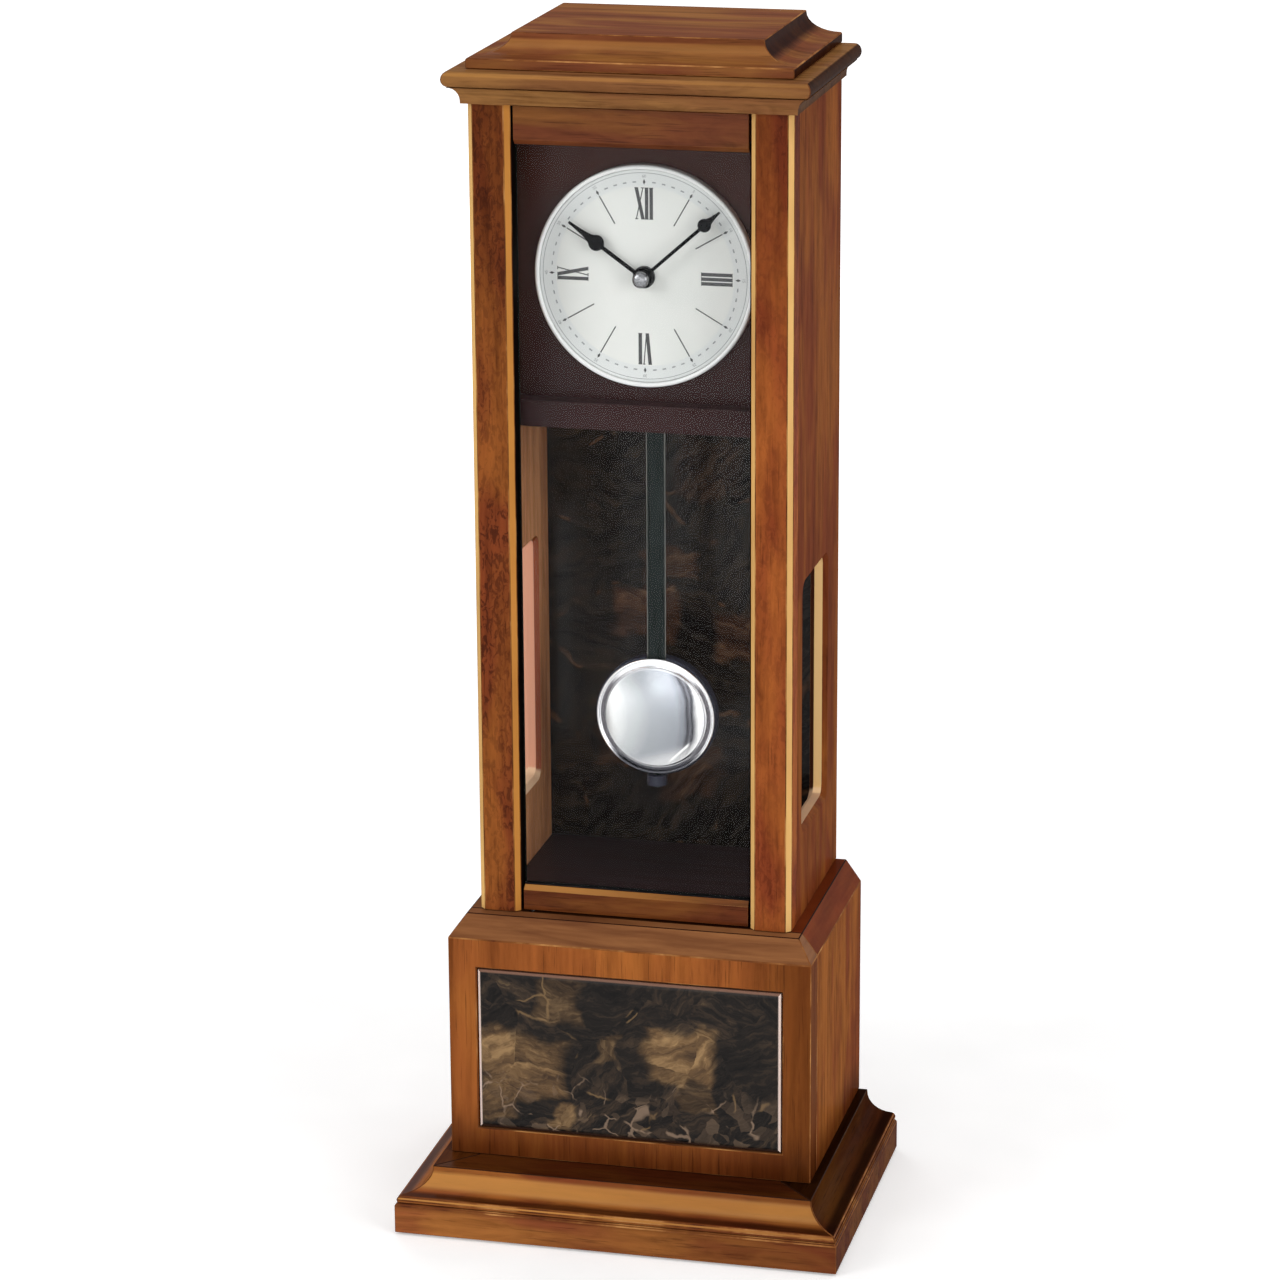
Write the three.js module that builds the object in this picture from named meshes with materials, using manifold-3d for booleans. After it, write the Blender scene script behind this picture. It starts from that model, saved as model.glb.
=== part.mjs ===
// Standing pendulum clock: a wooden case on a stepped base, with a glazed door,
// a round dial, a chiming quartz movement and a pendulum in an open chamber.
// Millimetres. +Z is up, the front faces -Y, and the origin is on the floor
// under the middle of the plinth.

import * as THREE from 'three';
import { mergeVertices } from 'three/addons/utils/BufferGeometryUtils.js';
import Module from 'manifold-3d';

const wasm = await Module();
wasm.setup();

// ---- Driving sizes ----

// Heights of the stacked pieces, from the floor up.
const feltThickness = 1;
const plinthHeight = 13;
const mouldingHeight = 13;
const boxHeight = 106;
const caseHeight = 340.5;
const friezeHeight = 7;
const corniceHeight = 6.5;
const lidHeight = 13;

// Plan of the case, and how far the lower and upper pieces stand out from it.
const caseWidth = 133;
const caseDepth = 96.5;
const boxReach = 11;
const plinthReach = 17;
const frontLedge = 12.5;
const friezeReach = 6.6;
const corniceReach = 8.3;
const lidReach = 0.1;

// Board thicknesses and joinery.
const seam = 0.2;
const boxFrontThickness = 13;
const boxSideThickness = 12;
const boxBackThickness = 6;
const boxTopThickness = 12;
const bevelHeight = 9.3;
const bevelWidth = 6.6;
const postWidth = 17.5;
const postDepth = 12;
const postChamfer = 2.3;
const sideThickness = 7.5;
const rebateWidth = 5;
const rebateDepth = 6;
const backPanelThickness = 4;
const liningThickness = 0.8;
const chamberFloorThickness = 4;
const caseTopThickness = 8;
const feltInset = 6;

// Inlaid plate on the base.
const inlayWidth = 129.5;
const inlayHeight = 70.5;
const inlayThickness = 4;
const inlayBevel = 2.6;
const inlayBevelDrop = 1.3;
const inlayGroove = 0.8;
const inlayProud = 0.8;
const inlayCentreHeight = 48.2;

// Side windows of the chamber.
const windowHeight = 105;
const windowWidth = 49.5;
const windowCentreHeight = 90;
const windowBackMargin = 24;
const windowChamfer = 2;
const windowCornerRadius = 4;

// Door.
const doorGap = 1.1;
const doorEndGap = 1;
const doorRecess = 2.2;
const doorBackGap = 0.8;
const topRailHeight = 15.5;
const bottomRailHeight = 10.5;
const railChamfer = 2;
const glassThickness = 2;
const glassEntry = 3;
const glassClearance = 0.2;
const sealWall = 0.8;
const sealProud = 0.3;
const railLip = 0.2;
const pivotRadius = 1;
const pivotLength = 9;
const pivotInset = 3.2;
const pivotSetback = 2.4;
const runningClearance = 0.3;
const strikeThickness = 0.8;
const strikeWidth = 12;
const strikeHeight = 6;
const magnetDepth = 7;

// Dial and its housing.
const dialRadius = 45.7;
const dialTopGap = 18.6;
const dialLipGap = 6.9;
const dialRimWidth = 1.9;
const dialRimHeight = 5;
const dialShelfWidth = 5.7;
const dialShelfThickness = 1.8;
const dialPlateThickness = 1.4;
const housingSetback = 29;
const housingWall = 2.2;
const housingFlatMargin = 1.6;
const housingSideClearance = 0.4;
const lipHeight = 11;
const lipReach = 8;
const slotWidth = 20;
const slotDepth = 8;

// Hands, as shown: eight minutes past ten.
const minuteHandAngle = 48.5;
const hourHandAngle = 305.5;
const minuteHandLength = 43;
const minuteBallDistance = 34.6;
const minuteBallRadius = 2.7;
const hourHandLength = 37.6;
const hourBallDistance = 23.6;
const hourBallRadius = 3.2;
const handThickness = 0.5;
const handSpacing = 1.2;
const armHalfWidth = 0.55;
const minuteHubRadius = 3.5;
const hourHubRadius = 4.1;
const capNutRadius = 3.3;
const capNutHeight = 3.6;

// Movement.
const movementWidth = 92;
const movementHeight = 64;
const movementDepth = 26;
const movementWall = 2;
const bushRadius = 3.2;
const bushNutRadius = 4.5;
const bushNutHeight = 1.8;
const hourTubeRadius = 2;
const minuteShaftRadius = 1.1;
const shaftClearance = 0.25;
const wheelThickness = 1.4;
const wheelStudRadius = 0.9;
const toothHeight = 0.5;
const meshClearance = 0.15;
const motionCentres = 12;
const minutePinionTeeth = 12;
const motionWheelTeeth = 36;
const motionPinionTeeth = 10;
const hourWheelTeeth = 40;
const settingWheelTeeth = 24;
const settingWheelRadius = 6;
const settingWheelAngle = -10;
const knobRadius = 6.5;
const knobHeight = 7;
const batteryRadius = 7.2;
const batteryLength = 50;
const batteryClearance = 0.5;
const batteryBayDepth = 18;
const batteryCoverThickness = 1.6;
const speakerGap = 1.85;
const speakerThickness = 6;
const speakerFromEdge = 18;
const grilleSlotCount = 5;
const grilleSlotHeight = 1.8;
const switchFromShaft = 4;
const switchTravel = 6;
const switchKnobSize = 5;

// Pendulum and its drive.
const bracketSetback = 1;
const rodSetback = 7.9;
const pendulumPivotDrop = 29;
const bracketWidth = 28;
const bracketHeight = 32;
const bracketDepth = 22;
const bracketWall = 2;
const hangerPinRadius = 1;
const hangerWidth = 8;
const hangerThickness = 1.5;
const hangerReachBelow = 22;
const hangerReachAbove = 4;
const rodWidth = 8;
const rodThickness = 0.8;
const bobCentreHeight = 77.2;
const bobRadius = 25.9;
const bobBodyThickness = 5;
const bobFaceMargin = 0.7;
const bobRimWidth = 2.4;
const bobRimHeight = 1.6;
const bobDomeRadius = 21.2;
const bobDomeHeight = 3.8;
const ratingNutRadius = 4.2;
const ratingNutHeight = 4.4;
const studRadius = 1.2;
const studTip = 1.4;
const studOverlap = 6;
const bobTravel = 1.2;
const coilRadius = 6.5;
const coilThickness = 4.6;
const magnetRadius = 3.6;
const coilGap = 0.6;

// Screws in the back panel.
const screwHeadRadius = 2.2;
const screwHeadHeight = 1.4;
const screwShankRadius = 1.2;
const screwLength = 14;
const screwEndMargin = 26;

// ---- Levels and planes worked out from the sizes above ----

const zPlinth = feltThickness;
const zMoulding = zPlinth + plinthHeight;
const zBox = zMoulding + mouldingHeight;
const zCase = zBox + boxHeight;
const zFrieze = zCase + caseHeight;
const zCornice = zFrieze + friezeHeight;
const zLid = zCornice + corniceHeight;
const zTop = zLid + lidHeight;

const plinthWidth = caseWidth + 2 * (boxReach + plinthReach);
const plinthDepth = caseDepth + boxReach + plinthReach + frontLedge;
const yBack = plinthDepth / 2;
const yCase = yBack - caseDepth;
const yBox = yCase - boxReach;
const xCase = caseWidth / 2;
const xBox = xCase + boxReach;
const xInside = xCase - sideThickness;

const yPostBack = yCase + postDepth;
const yPanelBack = yBack - rebateDepth + backPanelThickness;
const yPanel = yPanelBack - backPanelThickness;
const yLining = yPanel - seam - liningThickness;
const yBoxInside = yBox + boxFrontThickness;
const zChamberFloor = zCase + seam + chamberFloorThickness;
const zCaseTopBoard = zFrieze - caseTopThickness;

const halfOpening = xCase - postWidth;
const halfDoor = halfOpening - doorGap;
const yDoor = yCase + doorRecess;
const yDoorBack = yPostBack - doorBackGap;
const ySeal = yDoor + railChamfer + railLip + seam;
const yGlass = ySeal + sealWall + glassClearance;
const sealDepth = glassEntry + glassClearance + sealWall;
const zDoor = zCase + doorEndGap;
const zDoorTop = zFrieze - doorEndGap;
const xPivot = -halfDoor + pivotInset;
const yPivot = yDoor + pivotSetback;

const yHousing = yCase + housingSetback;
const zHousingTop = zCaseTopBoard - seam;
const zDial = zHousingTop - dialTopGap - dialRadius;
const zHousing = zDial - dialRadius - dialLipGap - lipHeight;
const xHousing = xInside - housingSideClearance;
const housingCornerRadius = xHousing - movementWidth / 2 - housingFlatMargin;
const yDialShelf = yHousing - seam - dialShelfThickness;
const yDialPlate = yDialShelf - seam - dialPlateThickness;
const yBushNut = yDialPlate - seam - bushNutHeight;
const yHourHand = yBushNut - handSpacing - handThickness;
const yMinuteHand = yHourHand - handSpacing - handThickness;
const yCapNut = yMinuteHand - seam - capNutHeight;

const yMovement = yHousing + housingWall + seam;
const yMovementBody = yMovement + movementWall + seam;
const yMovementBack = yMovement + movementDepth;
const batteryBayHeight = 4 * batteryRadius + 3 * batteryClearance;
const halfWheelRoom = (movementHeight - batteryBayHeight - 3 * movementWall) / 2;
const speakerRadius = halfWheelRoom - speakerGap;
const zMovement = zDial - halfWheelRoom - movementWall;
const zMovementTop = zMovement + movementHeight;
const xSpeaker = speakerFromEdge - movementWidth / 2;
const yHourWheel = yMovementBody + 1;
const yMinuteWheel = yHourWheel + wheelThickness + 1.4;

const yBracket = yMovementBody + bracketSetback;
const yRod = yBracket + rodSetback;
const yHanger = yRod + rodThickness + seam;
const zPivot = zDial - pendulumPivotDrop;
const zBob = zCase + bobCentreHeight;
const bobFaceRadius = bobRadius - bobFaceMargin;
const zCoil = zPivot - 12;
const zHook = zPivot - hangerReachBelow + 4;

// ---- Materials ----

function finish(color, roughness, metalness = 0) {
  return new THREE.MeshStandardMaterial({ color, roughness, metalness });
}

const walnut = () => finish(0x8a4f2a, 0.38);
const darkBoard = () => finish(0x241c1a, 0.45);
const pearl = () => finish(0x35302a, 0.15);
const blackPlastic = () => finish(0x17171a, 0.5);
const burgundyPlastic = () => finish(0x352023, 0.4);
const chrome = () => finish(0xc8ccd2, 0.08, 1);
const steel = () => finish(0x9a9da2, 0.3, 1);
const brass = () => finish(0xb98f45, 0.3, 1);
const dialWhite = () => finish(0xe9e9e4, 0.55);
const felt = () => finish(0x27412f, 0.95);

// ---- Geometry helpers ----

// Merges shared points, drops empty triangles and turns every face outwards.
function closed(geometry) {
  const bare = geometry.clone();
  for (const name of Object.keys(bare.attributes)) {
    if (name !== 'position') bare.deleteAttribute(name);
  }
  const merged = mergeVertices(bare, 1e-4);
  const p = merged.attributes.position;
  const corners = [];
  let volume = 0;
  const a = new THREE.Vector3();
  const b = new THREE.Vector3();
  const c = new THREE.Vector3();
  for (let i = 0; i < merged.index.count; i += 3) {
    const t = [0, 1, 2].map((k) => merged.index.getX(i + k));
    if (t[0] === t[1] || t[1] === t[2] || t[2] === t[0]) continue;
    a.fromBufferAttribute(p, t[0]);
    b.fromBufferAttribute(p, t[1]);
    c.fromBufferAttribute(p, t[2]);
    volume += a.dot(b.cross(c)) / 6;
    corners.push(t);
  }
  merged.setIndex(corners.flatMap((t) => (volume < 0 ? [t[0], t[2], t[1]] : t)));
  return merged;
}

function toSolid(geometry) {
  const g = closed(geometry);
  return new wasm.Manifold(new wasm.Mesh({
    numProp: 3,
    vertProperties: new Float32Array(g.attributes.position.array),
    triVerts: new Uint32Array(g.index.array),
  }));
}

function fromSolid(solid) {
  const mesh = solid.getMesh();
  const g = new THREE.BufferGeometry();
  g.setAttribute('position', new THREE.BufferAttribute(new Float32Array(mesh.vertProperties), 3));
  g.setIndex(Array.from(mesh.triVerts));
  return g;
}

function join(...parts) {
  return fromSolid(parts.map(toSolid).reduce((sum, part) => sum.add(part)));
}

function cut(body, ...tools) {
  return fromSolid(tools.map(toSolid).reduce((rest, tool) => rest.subtract(tool), toSolid(body)));
}

function overlap(first, second) {
  return fromSolid(toSolid(first).intersect(toSolid(second)));
}

function box(x0, x1, y0, y1, z0, z1) {
  const g = new THREE.BoxGeometry(x1 - x0, y1 - y0, z1 - z0);
  return g.translate((x0 + x1) / 2, (y0 + y1) / 2, (z0 + z1) / 2);
}

// A THREE.Shape through the given [u, v] corners.
function outline(corners) {
  return new THREE.Shape(corners.map(([u, v]) => new THREE.Vector2(u, v)));
}

function extrude(shape, depth, curveSegments = 8, bevel = 0) {
  return new THREE.ExtrudeGeometry(shape, {
    depth,
    curveSegments,
    bevelEnabled: bevel > 0,
    bevelThickness: bevel,
    bevelSize: bevel,
    bevelSegments: 1,
  });
}

// Extrusions along each axis: the shape lies in (y, z), (x, z) or (x, y).
function alongX(shape, x0, x1, segments) {
  const turn = new THREE.Matrix4().makeBasis(
    new THREE.Vector3(0, 1, 0), new THREE.Vector3(0, 0, 1), new THREE.Vector3(1, 0, 0));
  return extrude(shape, x1 - x0, segments).applyMatrix4(turn).translate(x0, 0, 0);
}

function alongY(shape, y0, y1, segments) {
  const turn = new THREE.Matrix4().makeBasis(
    new THREE.Vector3(1, 0, 0), new THREE.Vector3(0, 0, 1), new THREE.Vector3(0, -1, 0));
  return extrude(shape, y1 - y0, segments).applyMatrix4(turn).translate(0, y1, 0);
}

function alongZ(shape, z0, z1, segments) {
  return extrude(shape, z1 - z0, segments).translate(0, 0, z0);
}

// A solid of revolution about a line along Y through (x, z). The profile is a
// list of [radius, y], and closes on itself or ends on the axis.
function turnedY(profile, x, z, segments = 32) {
  const points = profile.map(([r, y]) => new THREE.Vector2(r, y));
  return new THREE.LatheGeometry(points, segments).translate(x, 0, z);
}

function rodY(radius, x, z, y0, y1, segments = 24) {
  return turnedY([[0, y0], [radius, y0], [radius, y1], [0, y1]], x, z, segments);
}

function ringY(inner, outer, x, z, y0, y1, segments = 32) {
  return turnedY([[inner, y0], [outer, y0], [outer, y1], [inner, y1], [inner, y0]], x, z, segments);
}

function rodZ(radius, x, y, z0, z1, segments = 20) {
  const g = new THREE.CylinderGeometry(radius, radius, z1 - z0, segments);
  return g.rotateX(Math.PI / 2).translate(x, y, (z0 + z1) / 2);
}

function rodX(radius, y, z, x0, x1, segments = 24) {
  const g = new THREE.CylinderGeometry(radius, radius, x1 - x0, segments);
  return g.rotateZ(Math.PI / 2).translate((x0 + x1) / 2, y, z);
}

function roundedRectangle(u0, u1, v0, v1, r) {
  const s = new THREE.Shape();
  s.moveTo(u0 + r, v0);
  s.lineTo(u1 - r, v0);
  s.absarc(u1 - r, v0 + r, r, -Math.PI / 2, 0);
  s.lineTo(u1, v1 - r);
  s.absarc(u1 - r, v1 - r, r, 0, Math.PI / 2);
  s.lineTo(u0 + r, v1);
  s.absarc(u0 + r, v1 - r, r, Math.PI / 2, Math.PI);
  s.lineTo(u0, v0 + r);
  s.absarc(u0 + r, v0 + r, r, Math.PI, 1.5 * Math.PI);
  return s;
}

// A board with a moulded edge on its front and both sides and a flat back. The
// edge is a list of [reach, z] from the bottom up, where reach is how far the
// edge stands out from a block of the given half width and front plane.
function mouldedBoard(edge, halfWidth, front, extraFront = 0) {
  const far = plinthWidth;
  const frontProfile = [
    ...edge.map(([reach, z]) => [front - reach - extraFront, z]),
    [yBack, edge.at(-1)[1]],
    [yBack, edge[0][1]],
  ];
  const right = edge.map(([reach, z]) => [halfWidth + reach, z]);
  const left = right.map(([x, z]) => [-x, z]).reverse();
  return overlap(
    alongX(outline(frontProfile), -far, far),
    alongY(outline([...right, ...left]), -far, far));
}

function arcPoints(cx, cz, rx, rz, from, to, count) {
  const curve = new THREE.EllipseCurve(cx, cz, rx, rz, from, to, from > to);
  return curve.getPoints(count).map((p) => [p.x, p.y]);
}

function gear(pitchRadius, teeth, x, z, y0, y1, bore = 0) {
  const outer = pitchRadius - meshClearance;
  const inner = outer - toothHeight;
  const points = [];
  for (let i = 0; i < 2 * teeth; i++) {
    const angle = Math.PI * i / teeth;
    const r = i % 2 ? inner : outer;
    points.push([x + r * Math.cos(angle), z + r * Math.sin(angle)]);
  }
  const shape = outline(points);
  if (bore > 0) {
    const hole = new THREE.Path();
    hole.absarc(x, z, bore, 0, 2 * Math.PI, true);
    shape.holes.push(hole);
  }
  return alongY(shape, y0, y1, 6);
}

function piece(name, geometry, material) {
  const mesh = new THREE.Mesh(closed(geometry), material);
  mesh.name = name;
  return mesh;
}

function assembly(...children) {
  const group = new THREE.Group();
  group.add(...children);
  return group;
}

// ---- Base ----

function baseFelt() {
  const x = plinthWidth / 2 - feltInset;
  return box(-x, x, -yBack + feltInset, yBack - feltInset, 0, zPlinth - seam);
}

function plinthBoard() {
  const round = 0.8;
  const edge = [
    [0, zPlinth],
    [0, zMoulding - round],
    [-round, zMoulding],
  ];
  return mouldedBoard(edge, plinthWidth / 2, -yBack);
}

// Bead, then a concave curve up to the step that the base box stands on.
function mouldingEdge() {
  const beadHeight = 3;
  const beadReach = plinthReach - 2.5;
  const stepReach = 3.7;
  const z0 = zMoulding + seam;
  const zBead = z0 + beadHeight;
  return [
    [plinthReach - 1, z0],
    [plinthReach - 0.6, z0 + beadHeight * 0.45],
    [plinthReach - 1.3, z0 + beadHeight * 0.85],
    [beadReach, zBead],
    ...arcPoints(beadReach, zBox - 0.8, beadReach - stepReach, zBox - 0.8 - zBead,
      1.5 * Math.PI, Math.PI, 8).slice(1),
    [stepReach, zBox],
  ];
}

// The three mitred lengths that carry the base box.
function baseMoulding(side) {
  const whole = mouldedBoard(mouldingEdge(), xBox, yBox, frontLedge);
  const x = plinthWidth / 2;
  const y = -yBack;
  const xIn = xBox - boxSideThickness;
  const yIn = yBoxInside;
  const run = x - xIn;
  const half = seam / 2;
  const plan = side === 0
    ? [[-x + half, y], [x - half, y], [xIn - half, y + run], [xIn - half, yIn],
      [-xIn + half, yIn], [-xIn + half, y + run]]
    : [[side * x, y + half], [side * x, yBack], [side * xIn, yBack], [side * xIn, y + run + half]];
  return overlap(whole, alongZ(outline(plan), zMoulding, zBox));
}

function bevelledBox() {
  return mouldedBoard([
    [0, zBox + seam],
    [0, zCase - bevelHeight],
    [-bevelWidth, zCase],
  ], xBox, yBox);
}

function baseFrontBoard() {
  const board = overlap(bevelledBox(), box(-xBox, xBox, yBox, yBoxInside, zBox, zCase));
  const halfWidth = inlayWidth / 2 + inlayGroove;
  const halfHeight = inlayHeight / 2 + inlayGroove;
  const z = zBox + inlayCentreHeight;
  const depth = inlayThickness - inlayProud + seam;
  return cut(board, box(-halfWidth, halfWidth, yBox - 1, yBox + depth, z - halfHeight, z + halfHeight));
}

function baseSideBoard(side) {
  const inner = xBox - boxSideThickness;
  const plan = [
    [side * inner, yBoxInside + seam],
    [side * (xBox + 1), yBoxInside + seam],
    [side * (xBox + 1), yBack],
    [side * inner, yBack],
  ];
  return overlap(bevelledBox(), alongZ(outline(plan), zBox, zCase));
}

function baseBackBoard() {
  const x = xBox - boxSideThickness - seam;
  return box(-x, x, yPanelBack - boxBackThickness, yPanelBack, zMoulding + seam, zCase - seam);
}

function baseTopBoard() {
  const x = xBox - boxSideThickness - seam;
  const y1 = yPanelBack - boxBackThickness - seam;
  const board = box(-x, x, yBoxInside + seam, y1, zCase - boxTopThickness, zCase - seam);
  return cut(board, pivotHole(zCase - pivotLength / 2 - seam, zCase + 1));
}

// Plate with bevelled edges, a little proud of the board.
function inlayPlate() {
  const x = inlayWidth / 2;
  const z = zBox + inlayCentreHeight;
  const y0 = yBox - inlayProud;
  const y1 = y0 + inlayThickness;
  const halfHeight = inlayHeight / 2;
  const acrossX = outline([
    [-x, y1], [-x, y0 + inlayBevelDrop], [-x + inlayBevel, y0],
    [x - inlayBevel, y0], [x, y0 + inlayBevelDrop], [x, y1],
  ]);
  const acrossZ = outline([
    [y1, z - halfHeight], [y0 + inlayBevelDrop, z - halfHeight], [y0, z - halfHeight + inlayBevel],
    [y0, z + halfHeight - inlayBevel], [y0 + inlayBevelDrop, z + halfHeight], [y1, z + halfHeight],
  ]);
  return overlap(
    alongZ(acrossX, z - inlayHeight, z + inlayHeight),
    alongX(acrossZ, -inlayWidth, inlayWidth));
}

function base() {
  return assembly(
    piece('base_felt', baseFelt(), felt()),
    piece('plinth_board', plinthBoard(), walnut()),
    piece('base_moulding_front', baseMoulding(0), walnut()),
    piece('base_moulding_left', baseMoulding(-1), walnut()),
    piece('base_moulding_right', baseMoulding(1), walnut()),
    piece('base_front_board', baseFrontBoard(), walnut()),
    piece('base_side_left', baseSideBoard(-1), walnut()),
    piece('base_side_right', baseSideBoard(1), walnut()),
    piece('base_back_board', baseBackBoard(), darkBoard()),
    piece('base_top_board', baseTopBoard(), darkBoard()),
    piece('inlay_plate', inlayPlate(), pearl()));
}

// ---- Case ----

function post(side) {
  const outer = side * xCase;
  const inner = side * halfOpening;
  const c = side * postChamfer;
  const plan = outline([
    [outer, yPostBack],
    [outer, yCase + postChamfer],
    [outer - c, yCase],
    [inner + c, yCase],
    [inner, yCase + postChamfer],
    [inner, yPostBack],
  ]);
  return alongZ(plan, zCase + seam, zFrieze - seam);
}

// Cutter for a window with chamfered edges on both faces of the side board.
function windowCutters(side) {
  const yWindow = yBack - windowBackMargin - windowWidth / 2;
  const zWindow = zCase + windowCentreHeight;
  const opening = roundedRectangle(
    yWindow - windowWidth / 2, yWindow + windowWidth / 2,
    zWindow - windowHeight / 2, zWindow + windowHeight / 2, windowCornerRadius);
  const middle = side * (xCase - sideThickness / 2);
  const turn = new THREE.Matrix4().makeBasis(
    new THREE.Vector3(0, 1, 0), new THREE.Vector3(0, 0, 1), new THREE.Vector3(1, 0, 0));
  const flare = (direction) => {
    const g = extrude(opening, sideThickness, 4, windowChamfer).applyMatrix4(turn);
    if (direction < 0) g.scale(-1, 1, 1);
    return g.translate(middle + direction * sideThickness / 2, 0, 0);
  };
  const through = extrude(opening, 2 * sideThickness, 4).applyMatrix4(turn);
  through.translate(middle - sideThickness, 0, 0);
  return [through, flare(1), flare(-1)];
}

function caseSide(side) {
  const outer = side * xCase;
  const inner = side * xInside;
  const rebate = side * (xInside + rebateWidth);
  const plan = outline([
    [outer, yPostBack + seam],
    [outer, yBack],
    [rebate, yBack],
    [rebate, yPanel - seam],
    [inner, yPanel - seam],
    [inner, yPostBack + seam],
  ]);
  const board = alongZ(plan, zCase + seam, zFrieze - seam);
  const holes = backScrewHeights().map((z) => rodY(
    screwShankRadius + seam, side * screwX(), z, yPanel - screwLength, yPanel, 12));
  return cut(board, ...windowCutters(side), ...holes);
}

function screwX() {
  return xInside + rebateWidth - screwHeadRadius - runningClearance;
}

function backScrewHeights() {
  return [zCase + screwEndMargin, zFrieze - screwEndMargin];
}

// Back board with the opening through which the movement is reached.
function backPanel() {
  const x = xInside + rebateWidth - seam;
  const panel = box(-x, x, yPanel, yPanelBack, zCase + seam, zFrieze - seam);
  const halfAccess = movementWidth / 2;
  const access = box(-halfAccess, halfAccess, yPanel - 1, yPanelBack + 1,
    zHousing + lipHeight, zHousingTop - housingWall);
  const holes = [-1, 1].flatMap((side) => backScrewHeights().map((z) => rodY(
    screwShankRadius + seam, side * screwX(), z, yPanel - 1, yPanelBack + 1, 12)));
  return cut(panel, access, ...holes);
}

function backScrew(side, z) {
  const y0 = yPanelBack + seam;
  return turnedY([
    [0, y0 + screwHeadHeight],
    [screwHeadRadius * 0.7, y0 + screwHeadHeight],
    [screwHeadRadius, y0 + screwHeadHeight * 0.4],
    [screwHeadRadius, y0],
    [screwShankRadius, y0],
    [screwShankRadius, y0 - screwLength + 2],
    [0, y0 - screwLength],
  ], side * screwX(), z, 16);
}

function rearLining() {
  const x = xInside - seam;
  return box(-x, x, yLining, yLining + liningThickness, zChamberFloor + seam, zHousing - seam);
}

function chamberFloor() {
  const x = xInside - seam;
  return box(-x, x, yPostBack + seam, yPanel - seam, zCase + seam, zChamberFloor);
}

function caseTopBoard() {
  const x = xInside - seam;
  return box(-x, x, yPostBack + seam, yPanel - seam, zCaseTopBoard, zFrieze - seam);
}

function friezeBoard() {
  const foot = 2;
  const footHeight = 0.8;
  const edge = [
    [foot, zFrieze],
    ...arcPoints(friezeReach, zFrieze + footHeight, friezeReach - foot,
      friezeHeight - footHeight - seam, Math.PI, Math.PI / 2, 6),
  ];
  return cut(mouldedBoard(edge, xCase, yCase), pivotHole(zFrieze - 1, zFrieze + pivotLength / 2 + seam));
}

function corniceBoard() {
  const nose = corniceHeight / 2;
  const edge = arcPoints(corniceReach - nose * 0.85, zCornice + nose, nose * 0.85, nose,
    -Math.PI / 2, Math.PI / 2, 8);
  return mouldedBoard(edge, xCase, yCase);
}

function lidBoard() {
  const bandHeight = 4.2;
  const round = 0.7;
  const topReach = -14.9;
  const zBand = zLid + seam + bandHeight;
  const edge = [
    [lidReach, zLid + seam],
    [lidReach, zBand - round],
    [lidReach - round * 0.3, zBand - round * 0.3],
    ...arcPoints(lidReach - round, zTop - 0.5, lidReach - round - topReach, zTop - 0.5 - zBand,
      1.5 * Math.PI, Math.PI, 8),
    [topReach, zTop],
  ];
  return mouldedBoard(edge, xCase, yCase);
}

function caseBody() {
  const screws = [-1, 1].flatMap((side) => backScrewHeights().map((z, level) => {
    const name = `back_screw_${level ? 'top' : 'bottom'}_${side < 0 ? 'left' : 'right'}`;
    return piece(name, backScrew(side, z), steel());
  }));
  return assembly(
    piece('post_left', post(-1), walnut()),
    piece('post_right', post(1), walnut()),
    piece('case_side_left', caseSide(-1), walnut()),
    piece('case_side_right', caseSide(1), walnut()),
    piece('back_panel', backPanel(), darkBoard()),
    piece('rear_lining', rearLining(), pearl()),
    piece('chamber_floor', chamberFloor(), darkBoard()),
    piece('case_top_board', caseTopBoard(), darkBoard()),
    piece('frieze_board', friezeBoard(), walnut()),
    piece('cornice_board', corniceBoard(), walnut()),
    piece('lid_board', lidBoard(), walnut()),
    ...screws);
}

// ---- Door ----

function pivotHole(z0, z1) {
  return rodZ(pivotRadius + runningClearance, xPivot, yPivot, z0, z1);
}

// Rail with a chamfered inner edge and a rebate behind it for the seal. The
// direction is 1 for the bottom rail, whose inner edge is on top, and -1 for
// the top rail.
function rail(zOuter, height, direction) {
  const zInner = zOuter + direction * height;
  const zRebate = zInner - direction * (sealDepth + seam);
  const section = outline([
    [yDoor, zOuter],
    [yDoor, zInner - direction * railChamfer],
    [yDoor + railChamfer, zInner],
    [ySeal - seam, zInner],
    [ySeal - seam, zRebate],
    [yDoorBack, zRebate],
    [yDoorBack, zOuter],
  ]);
  const holeEnd = zOuter + direction * (pivotLength / 2 + seam);
  const holeStart = zOuter - direction;
  const hole = pivotHole(Math.min(holeStart, holeEnd), Math.max(holeStart, holeEnd));
  return cut(alongX(section, -halfDoor, halfDoor), hole);
}

// Black channel in the rail's rebate that grips one end of the glass.
function glassSeal(zOuter, height, direction) {
  const zInner = zOuter + direction * height;
  const zFoot = zInner - direction * sealDepth;
  const zFloor = zFoot + direction * sealWall;
  const zLip = zInner + direction * sealProud;
  const y0 = ySeal;
  const y1 = yGlass + glassThickness + glassClearance + sealWall;
  const section = outline([
    [y0, zFoot], [y0, zLip], [y0 + sealWall, zLip], [y0 + sealWall, zFloor],
    [y1 - sealWall, zFloor], [y1 - sealWall, zLip], [y1, zLip], [y1, zFoot],
  ]);
  return alongX(section, -halfDoor, halfDoor);
}

function doorGlass() {
  return box(-halfDoor, halfDoor, yGlass, yGlass + glassThickness,
    zDoor + bottomRailHeight - glassEntry, zDoorTop - topRailHeight + glassEntry);
}

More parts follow.
